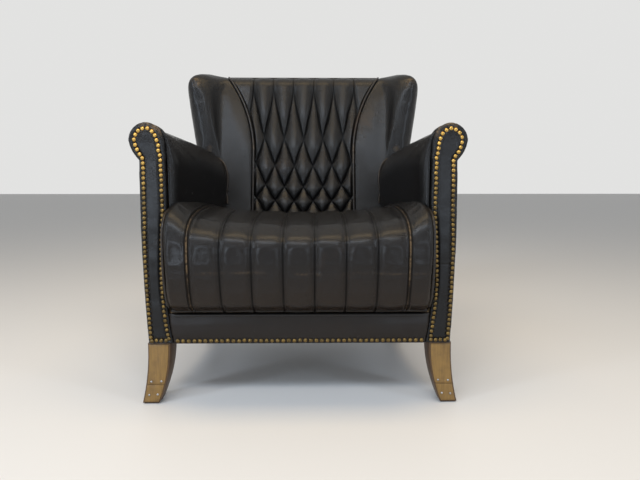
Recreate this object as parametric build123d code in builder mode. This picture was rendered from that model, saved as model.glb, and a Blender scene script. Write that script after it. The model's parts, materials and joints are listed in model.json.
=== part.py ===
from build123d import *
import math
import os

# A leather club chair: a wooden frame, a sprung seat with rolled flutes, padded arms with scroll
# fronts, and a raked back with smooth wings and sewn diamonds. Millimetres, +Z up. The chair faces
# -Y and the origin is on the floor under its middle. Right is +X; left pieces are mirrored.

# Overall sizes
overall_width = 740.0
overall_height = 850.0
overall_depth = 702.0

# Fits between pieces
fit_gap = 0.3
bolt_gap = 0.3
cut_overrun = 60.0

# Seat frame
leg_height = 146.0
rail_height = 72.0
rail_thickness = 28.0
frame_taper = 80.0
block_length = 60.0
block_height = 54.0

# Arms
arm_overhang = 32.0
arm_height = 643.0
arm_front_thickness = 77.0
arm_rear_thickness = 142.0
arm_run_in = 60.0
arm_end_height = 618.0
arm_end_shoulder_drop = 109.0
arm_end_shoulder_reach = 2.0
arm_end_crest_inset = 49.5
arm_end_scroll_reach = 14.0
arm_end_scroll_drop = 26.0
arm_end_tuck_reach = 6.0
arm_end_tuck_drop = 45.0
scroll_radius = 39.0
scroll_inner_radius = 45.0
scroll_tuck_drop = 81.0
scroll_tuck_inset = 21.0
roll_power = 1.84
roll_facets = 6
facing_thickness = 12.0
facing_foot_width = 58.0
facing_bow = 18.0
facing_belly = 6.0
post_width = 38.0
post_head_radius = 30.0
arm_rail_width = 24.0
arm_rail_height = 38.0
tack_rail_rise = 60.0
panel_thickness = 8.0

# Seat
seat_overhang = 58.0
seat_rear_height = 434.0
seat_rise = 9.0
seat_nose_radius = 50.0
seat_nose_angle = 78.0
seat_front_radius = 245.0
seat_front_angle = 62.0
seat_dip = 12.0
seat_corner_radius = 26.0
nose_facets = 8
front_facets = 6
flute_count = 7
flute_margin = 55.7
flute_crown = 9.0
flute_shares = ((0.0, 0.0), (0.14, 0.8), (0.5, 1.0), (0.86, 0.8))
band_crown = 6.0
band_shares = ((0.2, 0.8), (0.5, 1.0), (0.8, 0.8))
cover_thickness = 36.0
spring_count = 5
spring_margin = 64.0
spring_wire = 4.0
spring_width = 46.0
spring_turn = 24.0
spring_bend_share = 0.3
clip_thickness = 2.0
clip_width = 26.0
clip_length = 12.0
clip_setback = 6.0
hessian_thickness = 2.0
dust_cover_thickness = 1.5

# Back
back_lean = 10.0
nose_lean = 5.5
barrel_radius = 1140.0
back_pad_low = 400.0
back_board_thickness = 28.0
back_post_size = 40.0
top_rail_cover = 55.0
lower_rail_height = 44.0
top_rail_height = 56.0
webbing_count = 4
webbing_margin = 81.0
webbing_width = 52.0
webbing_thickness = 2.0
face_depth = 147.0
face_top_depth = 116.0
wing_advance = 3.2
wing_low_inset = 74.0
wing_top_inset = 3.0
wing_ridge_inset = 34.0
wing_nose_return = 34.0
wing_shoulder_reach = 24.0
wing_shoulder_drop = 9.0
wing_root_reach = 60.0
wing_root_drop = 62.0
wing_hollow_depth = 7.0
wing_taper = 14.0
wing_facets = 8
seam_low_width = 314.0
seam_top_width = 488.0
seam_bend_drop = 250.0
corner_drop = 48.0
corner_reach = 62.0
roll_front_radius = 46.0
roll_margin = 4.0
panel_hem = 20.0
roll_rear_radius = 34.0
tuft_crown = 15.0
tuft_ground = 16.0
pillow_shares = ((1.0, 0.0), (0.86, 0.5), (0.6, 0.85), (0.25, 1.0))
tuft_row_drops = (47.0, 203.0, 287.0, 352.0, 397.0, 438.0, 478.0)
tuft_row_pitches = (65.0, 62.0, 60.0, 60.0, 59.0, 58.5, 58.0)
tuft_columns = 6
edge_crown = 7.0
edge_shares = (0.0, 0.2, 0.4, 0.64)

# Trim
welt_radius = 3.5
piping_radius = 3.0
piping_facets = 8
seam_facets = 7

# Legs
front_leg_width = 50.0
front_leg_depth = 56.0
front_foot_width = 39.0
front_foot_depth = 38.0
front_leg_inset = 20.0
front_foot_inset = 3.0
leg_waist_height = 70.0
leg_bow_share = 0.26
leg_side_share = 0.3
front_leg_advance = 4.0
front_foot_advance = 3.0
dust_cover_margin = 2.0
rear_leg_width = 44.0
rear_leg_depth = 50.0
rear_foot_width = 36.0
rear_foot_depth = 36.0
rear_leg_splay = 10.0
rear_leg_rake = 62.0
glide_thickness = 3.0
glide_inset = 3.0
leg_facing_thickness = 2.0
leg_facing_inset = 3.0
toe_height = 46.0
toe_gap = 1.0
bolt_radius = 4.0
bolt_depth = 46.0

# Places that follow from the sizes
base_z = leg_height
frame_top = leg_height + rail_height
frame_front_width = overall_width - 2 * arm_overhang
frame_rear_width = frame_front_width - frame_taper
between_posts = frame_rear_width / 2 - back_post_size
arm_inner_front_width = overall_width - 2 * arm_front_thickness
arm_inner_rear_width = overall_width - 2 * arm_rear_thickness
wing_low_width = overall_width - 2 * wing_low_inset
wing_top_width = overall_width - 2 * wing_top_inset
seam_bend_height = overall_height - seam_bend_drop
tuft_row_heights = [overall_height - drop for drop in tuft_row_drops]
flute_pitch = (arm_inner_front_width - 2 * flute_margin) / flute_count
spring_pitch = 2 * (between_posts - spring_margin) / (spring_count - 1)
webbing_pitch = 2 * (between_posts - webbing_margin) / (webbing_count - 1)
seat_front_y = -overall_depth / 2
front_y = seat_front_y + seat_overhang
inner_front_y = front_y + facing_thickness
lean_sine = math.sin(math.radians(back_lean))
lean_cosine = math.cos(math.radians(back_lean))
lean_slope = math.tan(math.radians(back_lean))
nose_slope = math.tan(math.radians(nose_lean))
back_top_z = overall_height - roll_rear_radius
back_base_y = overall_depth / 2 - (back_top_z - base_z) * lean_slope
board_depth = panel_thickness + fit_gap
board_front_depth = board_depth + back_board_thickness


def back_section(rise):
    """Plane square to the leaning back, `rise` up along it from the underside of the frame."""
    origin = (0, back_base_y + rise * lean_sine, base_z + rise * lean_cosine)
    return Plane(origin=origin, x_dir=(1, 0, 0), z_dir=(0, lean_sine, lean_cosine))


def cross_plane(y):
    """Upright plane across the chair, with sketch X and Y along the chair's X and Z."""
    return Plane.XZ.offset(-y)


def sag(half_width, radius=barrel_radius):
    """How far the curved back comes forward at `half_width` from the middle."""
    return radius - math.sqrt(radius**2 - half_width**2)


def back_y(depth, z, half_width=0.0):
    """Y of the layer `depth` inside the outer back, at height z."""
    drop = depth + sag(half_width, barrel_radius - depth)
    return back_base_y + (z - base_z) * lean_slope - drop / lean_cosine


def rise_at(z):
    """Distance up the leaning back for a height z."""
    return (z - base_z) / lean_cosine


# The face of the tufted panel, and the front of the wings
face_origin_z = seat_rear_height + seat_rise
face_origin_y = back_y(face_depth * lean_cosine, face_origin_z)
face_top_z = overall_height - roll_front_radius
face_top_y = back_y(face_top_depth * lean_cosine, face_top_z)
face_slope = (face_top_y - face_origin_y) / (face_top_z - face_origin_z)
face_lean = math.atan(face_slope)
face_normal = (0, -math.cos(face_lean), math.sin(face_lean))
face_plane = Plane(origin=(0, face_origin_y, face_origin_z), x_dir=(1, 0, 0), z_dir=face_normal)
junction_y = face_origin_y - wing_advance
arm_end_y = junction_y + arm_run_in


def face_y(z):
    """Y of the crowns of the tufted panel at height z."""
    return face_origin_y + (z - face_origin_z) * face_slope


def nose_y(z):
    """Y of the front of the wings at height z."""
    return junction_y + fit_gap + (z - back_pad_low) * nose_slope


# The line of the side rails, with sketch X running back and Y running up
corner_y = back_y(board_depth, base_z, frame_rear_width / 2)
side_run = corner_y - inner_front_y
side_draw = (frame_front_width - frame_rear_width) / 2
side_length = math.hypot(side_run, side_draw)
side_origin = (frame_front_width / 2, inner_front_y, 0)
side_plane = Plane(
    origin=side_origin, x_dir=(-side_draw, side_run, 0), z_dir=(side_run, side_draw, 0)
)


def side_x(y):
    """Half width over the side rails at y."""
    return frame_front_width / 2 - side_draw * (y - inner_front_y) / side_run


def barrel_strip(depth, thickness, x_from, x_to, low_rise, high_rise):
    """A curved board that follows the back between two widths and two rises."""
    outer_radius = barrel_radius - depth
    inner_radius = outer_radius - thickness
    middle = (x_from + x_to) / 2

    def on_arc(radius, x):
        return (x, math.sqrt(radius**2 - x**2) - barrel_radius)

    with BuildPart() as strip:
        with BuildSketch(back_section(low_rise)):
            with BuildLine():
                outer = ThreePointArc(*(on_arc(outer_radius, x) for x in (x_from, middle, x_to)))
                inner = ThreePointArc(*(on_arc(inner_radius, x) for x in (x_from, middle, x_to)))
                Line(outer @ 0, inner @ 0)
                Line(outer @ 1, inner @ 1)
            make_face()
        extrude(amount=high_rise - low_rise)
    return strip.part


def faceted(rings, twisted=False):
    """A solid with flat faces through rings of points, its walls halved where they would twist."""
    walls = []
    for low, high in zip(rings, rings[1:]):
        for place in range(len(low)):
            wall = (low[place - 1], low[place], high[place], high[place - 1])
            walls.extend((wall[:3], (wall[0], *wall[2:])) if twisted else (wall,))
    faces = [Face(Wire.make_polygon(points)) for points in (rings[0], *walls, rings[-1])]
    return Solid(Shell(faces))


def faceted_sweep(path, facets, x_dir, section):
    """A solid with flat faces: a section carried along a path, with a count of facets per edge."""
    places = []
    for edge, count in zip(path.edges(), facets):
        places.extend((edge @ (step / count), edge % (step / count)) for step in range(count))
    places.append((path @ 1, path % 1))
    stations = [Plane(origin=place, x_dir=x_dir, z_dir=tangent) for place, tangent in places]
    return faceted([[station.from_local_coords(point) for point in section] for station in stations])


def quarter(centre, start, end, facets):
    """Points of a quarter ellipse about a centre, from its start to its end."""
    points = []
    for step in range(facets + 1):
        angle = math.pi / 2 * step / facets
        points.append(
            tuple(
                middle + (first - middle) * math.cos(angle) + (last - middle) * math.sin(angle)
                for middle, first, last in zip(centre, start, end)
            )
        )
    return points


def save(part, label):
    """Label a finished piece and write it."""
    part.label = label
    export_step(part, f"parts/{label}.step")


def save_pair(part, label):
    """Write a right-hand piece and its mirrored left-hand one."""
    save(part, f"right_{label}")
    save(mirror(part, about=Plane.YZ), f"left_{label}")


os.makedirs("parts", exist_ok=True)

# Arm facing: the scroll-headed plate on the front of each arm
scroll_x = overall_width / 2 - scroll_radius
scroll_z = arm_height - scroll_radius
inner_scroll_x = scroll_x - scroll_inner_radius
inner_scroll_z = arm_height - scroll_inner_radius
tuck_x = overall_width / 2 - scroll_tuck_inset
tuck_z = arm_height - scroll_tuck_drop
foot_outer_x = frame_front_width / 2 + panel_thickness
foot_inner_x = foot_outer_x - facing_foot_width
diagonal = math.sqrt(2) / 2
facing_middle_z = (base_z + tuck_z) / 2

with BuildPart() as facing:
    with BuildSketch(cross_plane(front_y)):
        with BuildLine():
            Line((foot_inner_x, base_z), (foot_outer_x, base_z))
            outer_edge = ThreePointArc(
                (foot_outer_x, base_z), (foot_outer_x + facing_belly, facing_middle_z), (tuck_x, tuck_z)
            )
            ThreePointArc(
                outer_edge @ 1,
                (scroll_x + scroll_radius * math.cos(math.pi / 6), scroll_z - scroll_radius / 2),
                (overall_width / 2, scroll_z),
            )
            ThreePointArc(
                (overall_width / 2, scroll_z),
                (scroll_x + scroll_radius * diagonal, scroll_z + scroll_radius * diagonal),
                (scroll_x, arm_height),
            )
            ThreePointArc(
                (scroll_x, arm_height),
                (
                    scroll_x - scroll_inner_radius * diagonal,
                    inner_scroll_z + scroll_inner_radius * diagonal,
                ),
                (inner_scroll_x, inner_scroll_z),
            )
            ThreePointArc(
                (inner_scroll_x, inner_scroll_z),
                (foot_inner_x + facing_bow, facing_middle_z),
                (foot_inner_x, base_z),
            )
        make_face()
    extrude(amount=-facing_thickness)
save_pair(facing.part, "arm_facing")

# Arm post: the upright board behind the facing, with a round head in the scroll
post_outer_x = frame_front_width / 2 - fit_gap
post_inner_x = post_outer_x - post_width
with BuildPart() as arm_post:
    with BuildSketch(cross_plane(inner_front_y)):
        with Locations(((post_inner_x + post_outer_x) / 2, (base_z + scroll_z) / 2)):
            Rectangle(post_width, scroll_z - base_z)
    extrude(amount=-rail_thickness)
    split(bisect_by=side_plane, keep=Keep.BOTTOM)
    with BuildSketch(cross_plane(inner_front_y)):
        with Locations((scroll_x, scroll_z)):
            Circle(post_head_radius)
    extrude(amount=-rail_thickness)
save_pair(arm_post.part, "arm_post")

# Back posts: square and raked, behind the wings
post_low_rise = rise_at(base_z) - back_post_size * lean_slope
top_rail_top = rise_at(overall_height - top_rail_cover)
post_high_rise = top_rail_top - top_rail_height
post_corner_sag = sag(frame_rear_width / 2, barrel_radius - board_depth)
post_centre_x = (frame_rear_width - back_post_size) / 2
post_centre_y = -board_depth - post_corner_sag - back_post_size / 2
with BuildPart() as back_post:
    with BuildSketch(back_section(post_low_rise)):
        with Locations((post_centre_x, post_centre_y)):
            Rectangle(back_post_size, back_post_size)
    extrude(amount=post_high_rise - post_low_rise)
    split(bisect_by=Plane.XY.offset(base_z), keep=Keep.TOP)
    split(bisect_by=side_plane, keep=Keep.BOTTOM)
save_pair(back_post.part, "back_post")

# Rear seat rail, lower back rail and top back rail, all curved boards
with BuildPart() as rear_rail:
    add(
        barrel_strip(
            board_depth,
            back_board_thickness,
            -between_posts,
            between_posts,
            -cut_overrun,
            rail_height + cut_overrun,
        )
    )
    split(bisect_by=Plane.XY.offset(base_z), keep=Keep.TOP)
    split(bisect_by=Plane.XY.offset(frame_top), keep=Keep.BOTTOM)
save(rear_rail.part, "rear_seat_rail")

lower_rail_rise = rise_at(back_pad_low) - lower_rail_height
with BuildPart() as lower_back_rail:
    add(
        barrel_strip(
            board_depth,
            back_board_thickness,
            -between_posts,
            between_posts,
            lower_rail_rise,
            lower_rail_rise + lower_rail_height,
        )
    )
save(lower_back_rail.part, "lower_back_rail")

with BuildPart() as top_back_rail:
    add(
        barrel_strip(
            board_depth,
            back_board_thickness,
            -frame_rear_width / 2,
            frame_rear_width / 2,
            post_high_rise,
            top_rail_top,
        )
    )
save(top_back_rail.part, "top_back_rail")

# Front seat rail, between the arm posts
with BuildPart() as front_rail:
    with BuildSketch(cross_plane(inner_front_y)):
        with Locations((0, (base_z + frame_top) / 2)):
            Rectangle(2 * post_inner_x, rail_height)
    extrude(amount=-rail_thickness)
save(front_rail.part, "front_seat_rail")

# Side rails, arm top rails and tacking rails run from the arm post back to the raked post
post_back_y = inner_front_y + rail_thickness
post_face = Plane(
    origin=back_section(0).from_local_coords((0, post_centre_y - back_post_size / 2, 0)),
    x_dir=(1, 0, 0),
    z_dir=(0, -lean_cosine, lean_sine),
)


def side_board(low_z, height, thickness):
    """A board along the side of the frame, cut square at the arm post and to the raked post."""
    with BuildPart() as board:
        with BuildSketch(side_plane):
            with Locations((side_length / 2, low_z + height / 2)):
                Rectangle(side_length + 2 * cut_overrun, height)
        extrude(amount=-thickness)
        split(bisect_by=cross_plane(post_back_y), keep=Keep.BOTTOM)
        split(bisect_by=post_face, keep=Keep.TOP)
    return board.part


front_bolt_y = inner_front_y + rail_thickness + bolt_radius + 2 * bolt_radius
rear_leg_y = corner_y - back_post_size - rear_leg_depth / 2
rear_bolt_y = rear_leg_y
bolt_inset = rail_thickness / 2


def bolt_place(y):
    """Middle of the side rail at y, where a leg bolt stands."""
    return (side_x(y) - bolt_inset, y)


with BuildPart() as side_rail:
    add(side_board(base_z, rail_height, rail_thickness))
    with BuildSketch(Plane.XY.offset(base_z)):
        with Locations(bolt_place(front_bolt_y), bolt_place(rear_bolt_y)):
            Circle(bolt_radius + bolt_gap)
    extrude(amount=bolt_depth, mode=Mode.SUBTRACT)
save_pair(side_rail.part, "side_seat_rail")

arm_rail_z = arm_height - scroll_tuck_drop - arm_rail_height / 2
arm_top_rail = side_board(arm_rail_z, arm_rail_height, arm_rail_width)
save_pair(arm_top_rail, "arm_top_rail")
arm_tack_rail = side_board(frame_top + tack_rail_rise, rail_thickness, arm_rail_width)
save_pair(arm_tack_rail, "arm_tack_rail")

# Corner blocks in the front corners of the seat frame
block_y = post_back_y


def inner_rail_x(y):
    """Half width between the side rails at y, a fit inside them."""
    return side_x(y) - rail_thickness / math.cos(math.atan2(side_draw, side_run)) - fit_gap


block_z = base_z + (rail_height - block_height) / 2
with BuildPart() as corner_blocks:
    with BuildSketch(Plane.XY.offset(block_z)):
        Polygon(
            (inner_rail_x(block_y), block_y),
            (inner_rail_x(block_y + block_length), block_y + block_length),
            (inner_rail_x(block_y) - block_length, block_y),
            align=None,
        )
    extrude(amount=block_height)
    mirror(about=Plane.YZ)
save(corner_blocks.part, "corner_blocks")

# Envelope of the back: its rolled top, seen from the side and lofted from the middle to the wings
def seam_x(z):
    """Half width of the tufted panel at height z."""
    reach = (seam_top_width - seam_low_width) / 2
    climb = overall_height - seam_bend_height
    bend_radius = (reach**2 + climb**2) / (2 * reach)
    rise = max(z - seam_bend_height, 0)
    return seam_low_width / 2 + sag(rise, bend_radius)


def roll_profile(x, front):
    """Side outline of the back at half width x, with its front given as a function of height."""
    low_z = back_pad_low - cut_overrun
    front_z = overall_height - roll_front_radius
    rear_z = overall_height - roll_rear_radius
    rear_y = back_y(panel_thickness, rear_z, x)
    top_front_y = front(front_z) + roll_front_radius
    top_front = (top_front_y, overall_height)
    top_rear_y = rear_y - roll_rear_radius
    outline = [
        (front(low_z) - roll_margin, low_z),
        (front(front_z) - roll_margin, front_z),
        *quarter((top_front_y, front_z), (front(front_z), front_z), top_front, roll_facets),
        *quarter((top_rear_y, rear_z), (top_rear_y, overall_height), (rear_y, rear_z), roll_facets),
        (rear_y + cut_overrun, rear_z),
        (back_y(0, low_z) + cut_overrun, low_z),
    ]
    return [(x, y, z) for y, z in outline]


with BuildPart() as back_envelope:
    add(
        faceted(
            [
                roll_profile(0, face_y),
                roll_profile(seam_top_width / 4, face_y),
                roll_profile(seam_top_width / 2, face_y),
                roll_profile(wing_top_width / 2 - wing_ridge_inset, nose_y),
                roll_profile(overall_width / 2, nose_y),
            ],
            twisted=True,
        )
    )
    mirror(about=Plane.YZ)

# Space that the wooden back frame and its webbing take out of the padding
back_core = barrel_strip(
    panel_thickness / 2,
    panel_thickness / 2 + fit_gap + back_board_thickness + webbing_thickness + fit_gap,
    -frame_rear_width / 2 - fit_gap,
    frame_rear_width / 2 + fit_gap,
    -cut_overrun,
    top_rail_top + fit_gap,
)
back_body = barrel_strip(
    board_depth,
    overall_depth / 2,
    -overall_width / 2 - cut_overrun,
    overall_width / 2 + cut_overrun,
    -cut_overrun,
    rise_at(overall_height) + cut_overrun,
)


# Wings: padding behind the face plane, with a rolled nose along the outer edge
wing_rise = overall_height - back_pad_low
wing_slope = (wing_top_width - wing_low_width) / 2 / wing_rise
wing_direction = (wing_slope, nose_slope, 1)
wing_run = wing_rise * math.hypot(*wing_direction)
wing_front = junction_y + fit_gap
wing_inner_x = seam_low_width / 4
wing_ridge = (wing_low_width / 2 - wing_ridge_inset, wing_front)
wing_side = (wing_low_width / 2, wing_front + wing_nose_return)
wing_rear = (wing_low_width / 2 - wing_taper, back_y(0, overall_height))
wing_shoulder = (wing_ridge[0] - wing_shoulder_reach, wing_front + wing_shoulder_drop)
wing_root = (wing_shoulder[0] - wing_root_reach, wing_shoulder[1] + wing_root_drop)
wing_hollow = (
    (wing_shoulder[0] + wing_root[0]) / 2 + wing_hollow_depth * diagonal,
    (wing_shoulder[1] + wing_root[1]) / 2 + wing_hollow_depth * diagonal,
)
wing_arcs = (
    ThreePointArc(wing_root, wing_hollow, wing_shoulder),
    ThreePointArc(wing_shoulder, wing_ridge, wing_side),
)
wing_nose = [
    tuple(arc @ (step / wing_facets))[:2] for arc in wing_arcs for step in range(wing_facets)
]

with BuildPart() as wing_padding:
    with BuildSketch(Plane.XY.offset(back_pad_low)):
        Polygon(
            (wing_inner_x, seat_front_y),
            (wing_ridge[0], seat_front_y),
            (wing_ridge[0], wing_side[1]),
            wing_side,
            wing_rear,
            (wing_inner_x, wing_rear[1]),
            align=None,
        )
    extrude(amount=wing_run, dir=wing_direction)
    split(bisect_by=face_plane, keep=Keep.BOTTOM)

corner_z = overall_height - corner_drop
corner_x = wing_low_width / 2 + (corner_z - back_pad_low) * wing_slope
corner_top_x = corner_x - corner_reach
arm_joint_z = arm_end_height - arm_end_tuck_drop

with BuildPart() as wing_outline:
    with BuildSketch(cross_plane(-overall_depth)):
        with BuildLine():
            low = (seam_low_width / 2 + fit_gap, back_pad_low)
            bend = (seam_low_width / 2 + fit_gap, seam_bend_height)
            top = (seam_top_width / 2 + fit_gap, overall_height)
            Line(low, bend)
            TangentArc(bend, top, tangent=(0, 1))
            Line(top, (corner_top_x, overall_height))
            ThreePointArc(
                (corner_top_x, overall_height),
                (corner_top_x + corner_reach * diagonal, corner_z + corner_drop * diagonal),
                (corner_x, corner_z),
            )
            Polyline((corner_x, corner_z), (overall_width, corner_z), (overall_width, back_pad_low), low)
        make_face()
    extrude(amount=-2 * overall_depth)

with BuildPart() as flank_cutter:
    with BuildSketch(side_plane.offset(-fit_gap)):
        with Locations((side_length / 2, (base_z + arm_joint_z) / 2)):
            Rectangle(2 * side_length, arm_joint_z - base_z)
    extrude(amount=cut_overrun)

with BuildPart() as wing:
    with BuildSketch(Plane.XY.offset(back_pad_low)):
        Polygon(*wing_nose, wing_side, wing_rear, (wing_root[0], wing_rear[1]), align=None)
    extrude(amount=wing_run, dir=wing_direction)
    add(wing_padding.part)
    add(wing_outline.part, mode=Mode.INTERSECT)
    add(back_body, mode=Mode.INTERSECT)
    add(back_envelope.part, mode=Mode.INTERSECT)
    add(back_core, mode=Mode.SUBTRACT)
    add(back_post.part, mode=Mode.SUBTRACT)
    add(arm_top_rail, mode=Mode.SUBTRACT)
    add(flank_cutter.part, mode=Mode.SUBTRACT)
save_pair(wing.part, "back_wing")

# Tufted panel: a ground sheet with a sewn pillow in each diamond and pleat
ground_plane = face_plane.offset(-tuft_crown)


def on_face(x, z):
    """Sketch place on the face plane of a point seen from the front."""
    return (x, (z - face_origin_z) / math.cos(face_lean))


def pillow(corners, crown):
    """A sewn pillow over a polygon of the face, drawn in by steps up to its crown."""
    middle = [sum(corner[axis] for corner in corners) / len(corners) for axis in (0, 1)]
    rings = [
        [
            ground_plane.from_local_coords(
                (*(m + (c - m) * width_share for c, m in zip(corner, middle)), crown * height_share)
            )
            for corner in corners
        ]
        for width_share, height_share in pillow_shares
    ]
    return faceted(rings)


def row_nodes(row):
    """Tuft points of a row, from left to right: the rows have six and five points by turns."""
    columns = tuft_columns - row % 2
    pitch = tuft_row_pitches[row]
    return [
        on_face((column - (columns - 1) / 2) * pitch, tuft_row_heights[row])
        for column in range(columns)
    ]


rows = [row_nodes(row) for row in range(len(tuft_row_heights))]
strip_top = on_face(0, overall_height + roll_front_radius)[1]
pillows = []
for row in range(len(rows) - 2):
    tops, sides, lows = rows[row : row + 3]
    wide_row = row % 2 == 0
    for column in range(len(tops)):
        if not wide_row:
            corners = (tops[column], sides[column + 1], lows[column], sides[column])
            pillows.append(pillow(corners, tuft_crown))
        elif 0 < column < len(tops) - 1:
            corners = (tops[column], sides[column], lows[column], sides[column - 1])
            pillows.append(pillow(corners, tuft_crown))
        else:
            inner = sides[0] if column == 0 else sides[-1]
            pillows.append(pillow((tops[column], inner, lows[column]), edge_crown))
for column in range(tuft_columns - 1):
    left, right = rows[0][column], rows[0][column + 1]
    corners = ((left[0], strip_top), (right[0], strip_top), right, rows[1][column], left)
    pillows.append(pillow(corners, tuft_crown))
edge_x = rows[0][-1][0]
edge_heights = [overall_height - share * (overall_height - seam_bend_height) for share in edge_shares]
for side in (1, -1):
    seam_points = [on_face(side * seam_x(z), z) for z in edge_heights]
    corners = (
        (side * edge_x, strip_top),
        (side * seam_top_width / 2, strip_top),
        *seam_points,
        (side * edge_x, seam_points[-1][1]),
    )
    pillows.append(pillow(corners, edge_crown))

with BuildPart() as centre_outline:
    with BuildSketch(cross_plane(-overall_depth)):
        with BuildLine():
            Line((0, back_pad_low), (seam_low_width / 2, back_pad_low))
            Line((seam_low_width / 2, back_pad_low), (seam_low_width / 2, seam_bend_height))
            TangentArc(
                (seam_low_width / 2, seam_bend_height),
                (seam_top_width / 2, overall_height),
                tangent=(0, 1),
            )
            Polyline((seam_top_width / 2, overall_height), (0, overall_height), (0, back_pad_low))
        make_face()
        mirror(about=Plane.YZ)
    extrude(amount=-2 * overall_depth)

with BuildPart() as tufted_panel:
    with BuildSketch(ground_plane):
        Rectangle(seam_top_width, 2 * overall_height)
    extrude(amount=-tuft_ground)
    add(pillows)
    add(centre_outline.part, mode=Mode.INTERSECT)
    add(back_envelope.part, mode=Mode.INTERSECT)
save(tufted_panel.part, "tufted_back_panel")

with BuildPart() as back_stuffing:
    add(centre_outline.part)
    split(bisect_by=ground_plane.offset(-tuft_ground - fit_gap), keep=Keep.BOTTOM)
    add(back_body, mode=Mode.INTERSECT)
    add(back_envelope.part, mode=Mode.INTERSECT)
    add(back_core, mode=Mode.SUBTRACT)
save(back_stuffing.part, "back_stuffing")

# Webbing straps up the inside back, from the lower rail to the top rail
with BuildPart() as back_webbing:
    for strap in range(webbing_count):
        strap_x = (strap - (webbing_count - 1) / 2) * webbing_pitch
        add(
            barrel_strip(
                board_front_depth,
                webbing_thickness,
                strap_x - webbing_width / 2,
                strap_x + webbing_width / 2,
                lower_rail_rise,
                top_rail_top,
            )
        )
save(back_webbing.part, "back_webbing")

# Piping down each wing seam, proud of the face
piping_low_z = seat_rear_height + seat_rise + flute_crown + piping_radius
piping_top_z = overall_height - roll_front_radius
with BuildLine() as seam_line:
    Line(on_face(seam_low_width / 2, piping_low_z), on_face(seam_low_width / 2, seam_bend_height))
    TangentArc(
        on_face(seam_low_width / 2, seam_bend_height),
        on_face(seam_x(piping_top_z), piping_top_z),
        tangent=(0, 1),
    )
with BuildPart() as wing_piping:
    piping_line = face_plane.offset(piping_radius + fit_gap) * seam_line.line
    piping_section = [
        (
            piping_radius * math.cos(2 * math.pi * facet / piping_facets),
            piping_radius * math.sin(2 * math.pi * facet / piping_facets),
        )
        for facet in range(piping_facets)
    ]
    add(faceted_sweep(piping_line, (1, seam_facets), face_normal, piping_section))
save_pair(wing_piping.part, "wing_piping")

# Outer back panel, curved with the frame and cut to the outline of the back
panel_half = frame_rear_width / 2 + panel_thickness
panel_joint_x = side_x(back_y(0, arm_joint_z, panel_half)) + panel_thickness
with BuildPart() as outer_back_panel:
    with BuildSketch(cross_plane(-overall_depth)):
        with BuildLine():
            Polyline(
                (0, base_z),
                (panel_half, base_z),
                (panel_joint_x, arm_joint_z),
                (corner_x - wing_taper, corner_z),
            )
            ThreePointArc(
                (corner_x - wing_taper, corner_z),
                (
                    corner_top_x + (corner_reach - wing_taper) * diagonal,
                    corner_z + (corner_drop - panel_hem) * diagonal,
                ),
                (corner_top_x, overall_height - panel_hem),
            )
            hem_z = overall_height - panel_hem
            Polyline((corner_top_x, hem_z), (0, hem_z), (0, base_z))
        make_face()
        mirror(about=Plane.YZ)
    extrude(amount=-2 * overall_depth)
    add(
        barrel_strip(
            0,
            panel_thickness,
            -overall_width / 2,
            overall_width / 2,
            -cut_overrun,
            rise_at(back_top_z),
        ),
        mode=Mode.INTERSECT,
    )
save(outer_back_panel.part, "outer_back_panel")


# Arm pad: inside arm and rolled top, a ruled body from the scroll to the wing
def arm_section(y, inner_x, shoulder, crest, scroll, tuck, lining_x):
    """Section of the right arm pad at y, from the points of its roll."""
    outline = [
        (inner_x, pad_low_z),
        *quarter((crest[0], shoulder[1]), shoulder, crest, roll_facets),
        *quarter((crest[0], scroll[1]), crest, scroll, roll_facets)[1:],
    ]
    for step in range(1, roll_facets + 1):
        share = step / roll_facets
        outline.append(
            (
                tuck[0] + (scroll[0] - tuck[0]) * (1 - share**roll_power),
                scroll[1] + (tuck[1] - scroll[1]) * share,
            )
        )
    outline.extend(((lining_x, tuck[1]), (lining_x, pad_low_z)))
    return [(x, y, z) for x, z in outline]


pad_low_z = frame_top + fit_gap
lining_back = arm_rail_width / math.cos(math.atan2(side_draw, side_run)) + fit_gap
arm_end_crest_x = overall_width / 2 - arm_end_crest_inset
arm_end_inner_x = arm_inner_rear_width / 2
front_section = arm_section(
    inner_front_y,
    arm_inner_front_width / 2,
    (inner_scroll_x, inner_scroll_z),
    (scroll_x, arm_height),
    (overall_width / 2, scroll_z),
    (tuck_x, tuck_z),
    side_x(inner_front_y) - lining_back,
)
end_section = arm_section(
    arm_end_y,
    arm_end_inner_x,
    (arm_end_inner_x + arm_end_shoulder_reach, arm_end_height - arm_end_shoulder_drop),
    (arm_end_crest_x, arm_end_height),
    (arm_end_crest_x + arm_end_scroll_reach, arm_end_height - arm_end_scroll_drop),
    (arm_end_crest_x + arm_end_tuck_reach, arm_end_height - arm_end_tuck_drop),
    side_x(arm_end_y) - lining_back,
)
with BuildPart() as arm_pad:
    add(faceted([front_section, end_section], twisted=True))
    add(arm_post.part, mode=Mode.SUBTRACT)
    add(arm_top_rail, mode=Mode.SUBTRACT)
    add(back_post.part, mode=Mode.SUBTRACT)
    add(wing.part, mode=Mode.SUBTRACT)
save_pair(arm_pad.part, "arm_pad")

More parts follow.
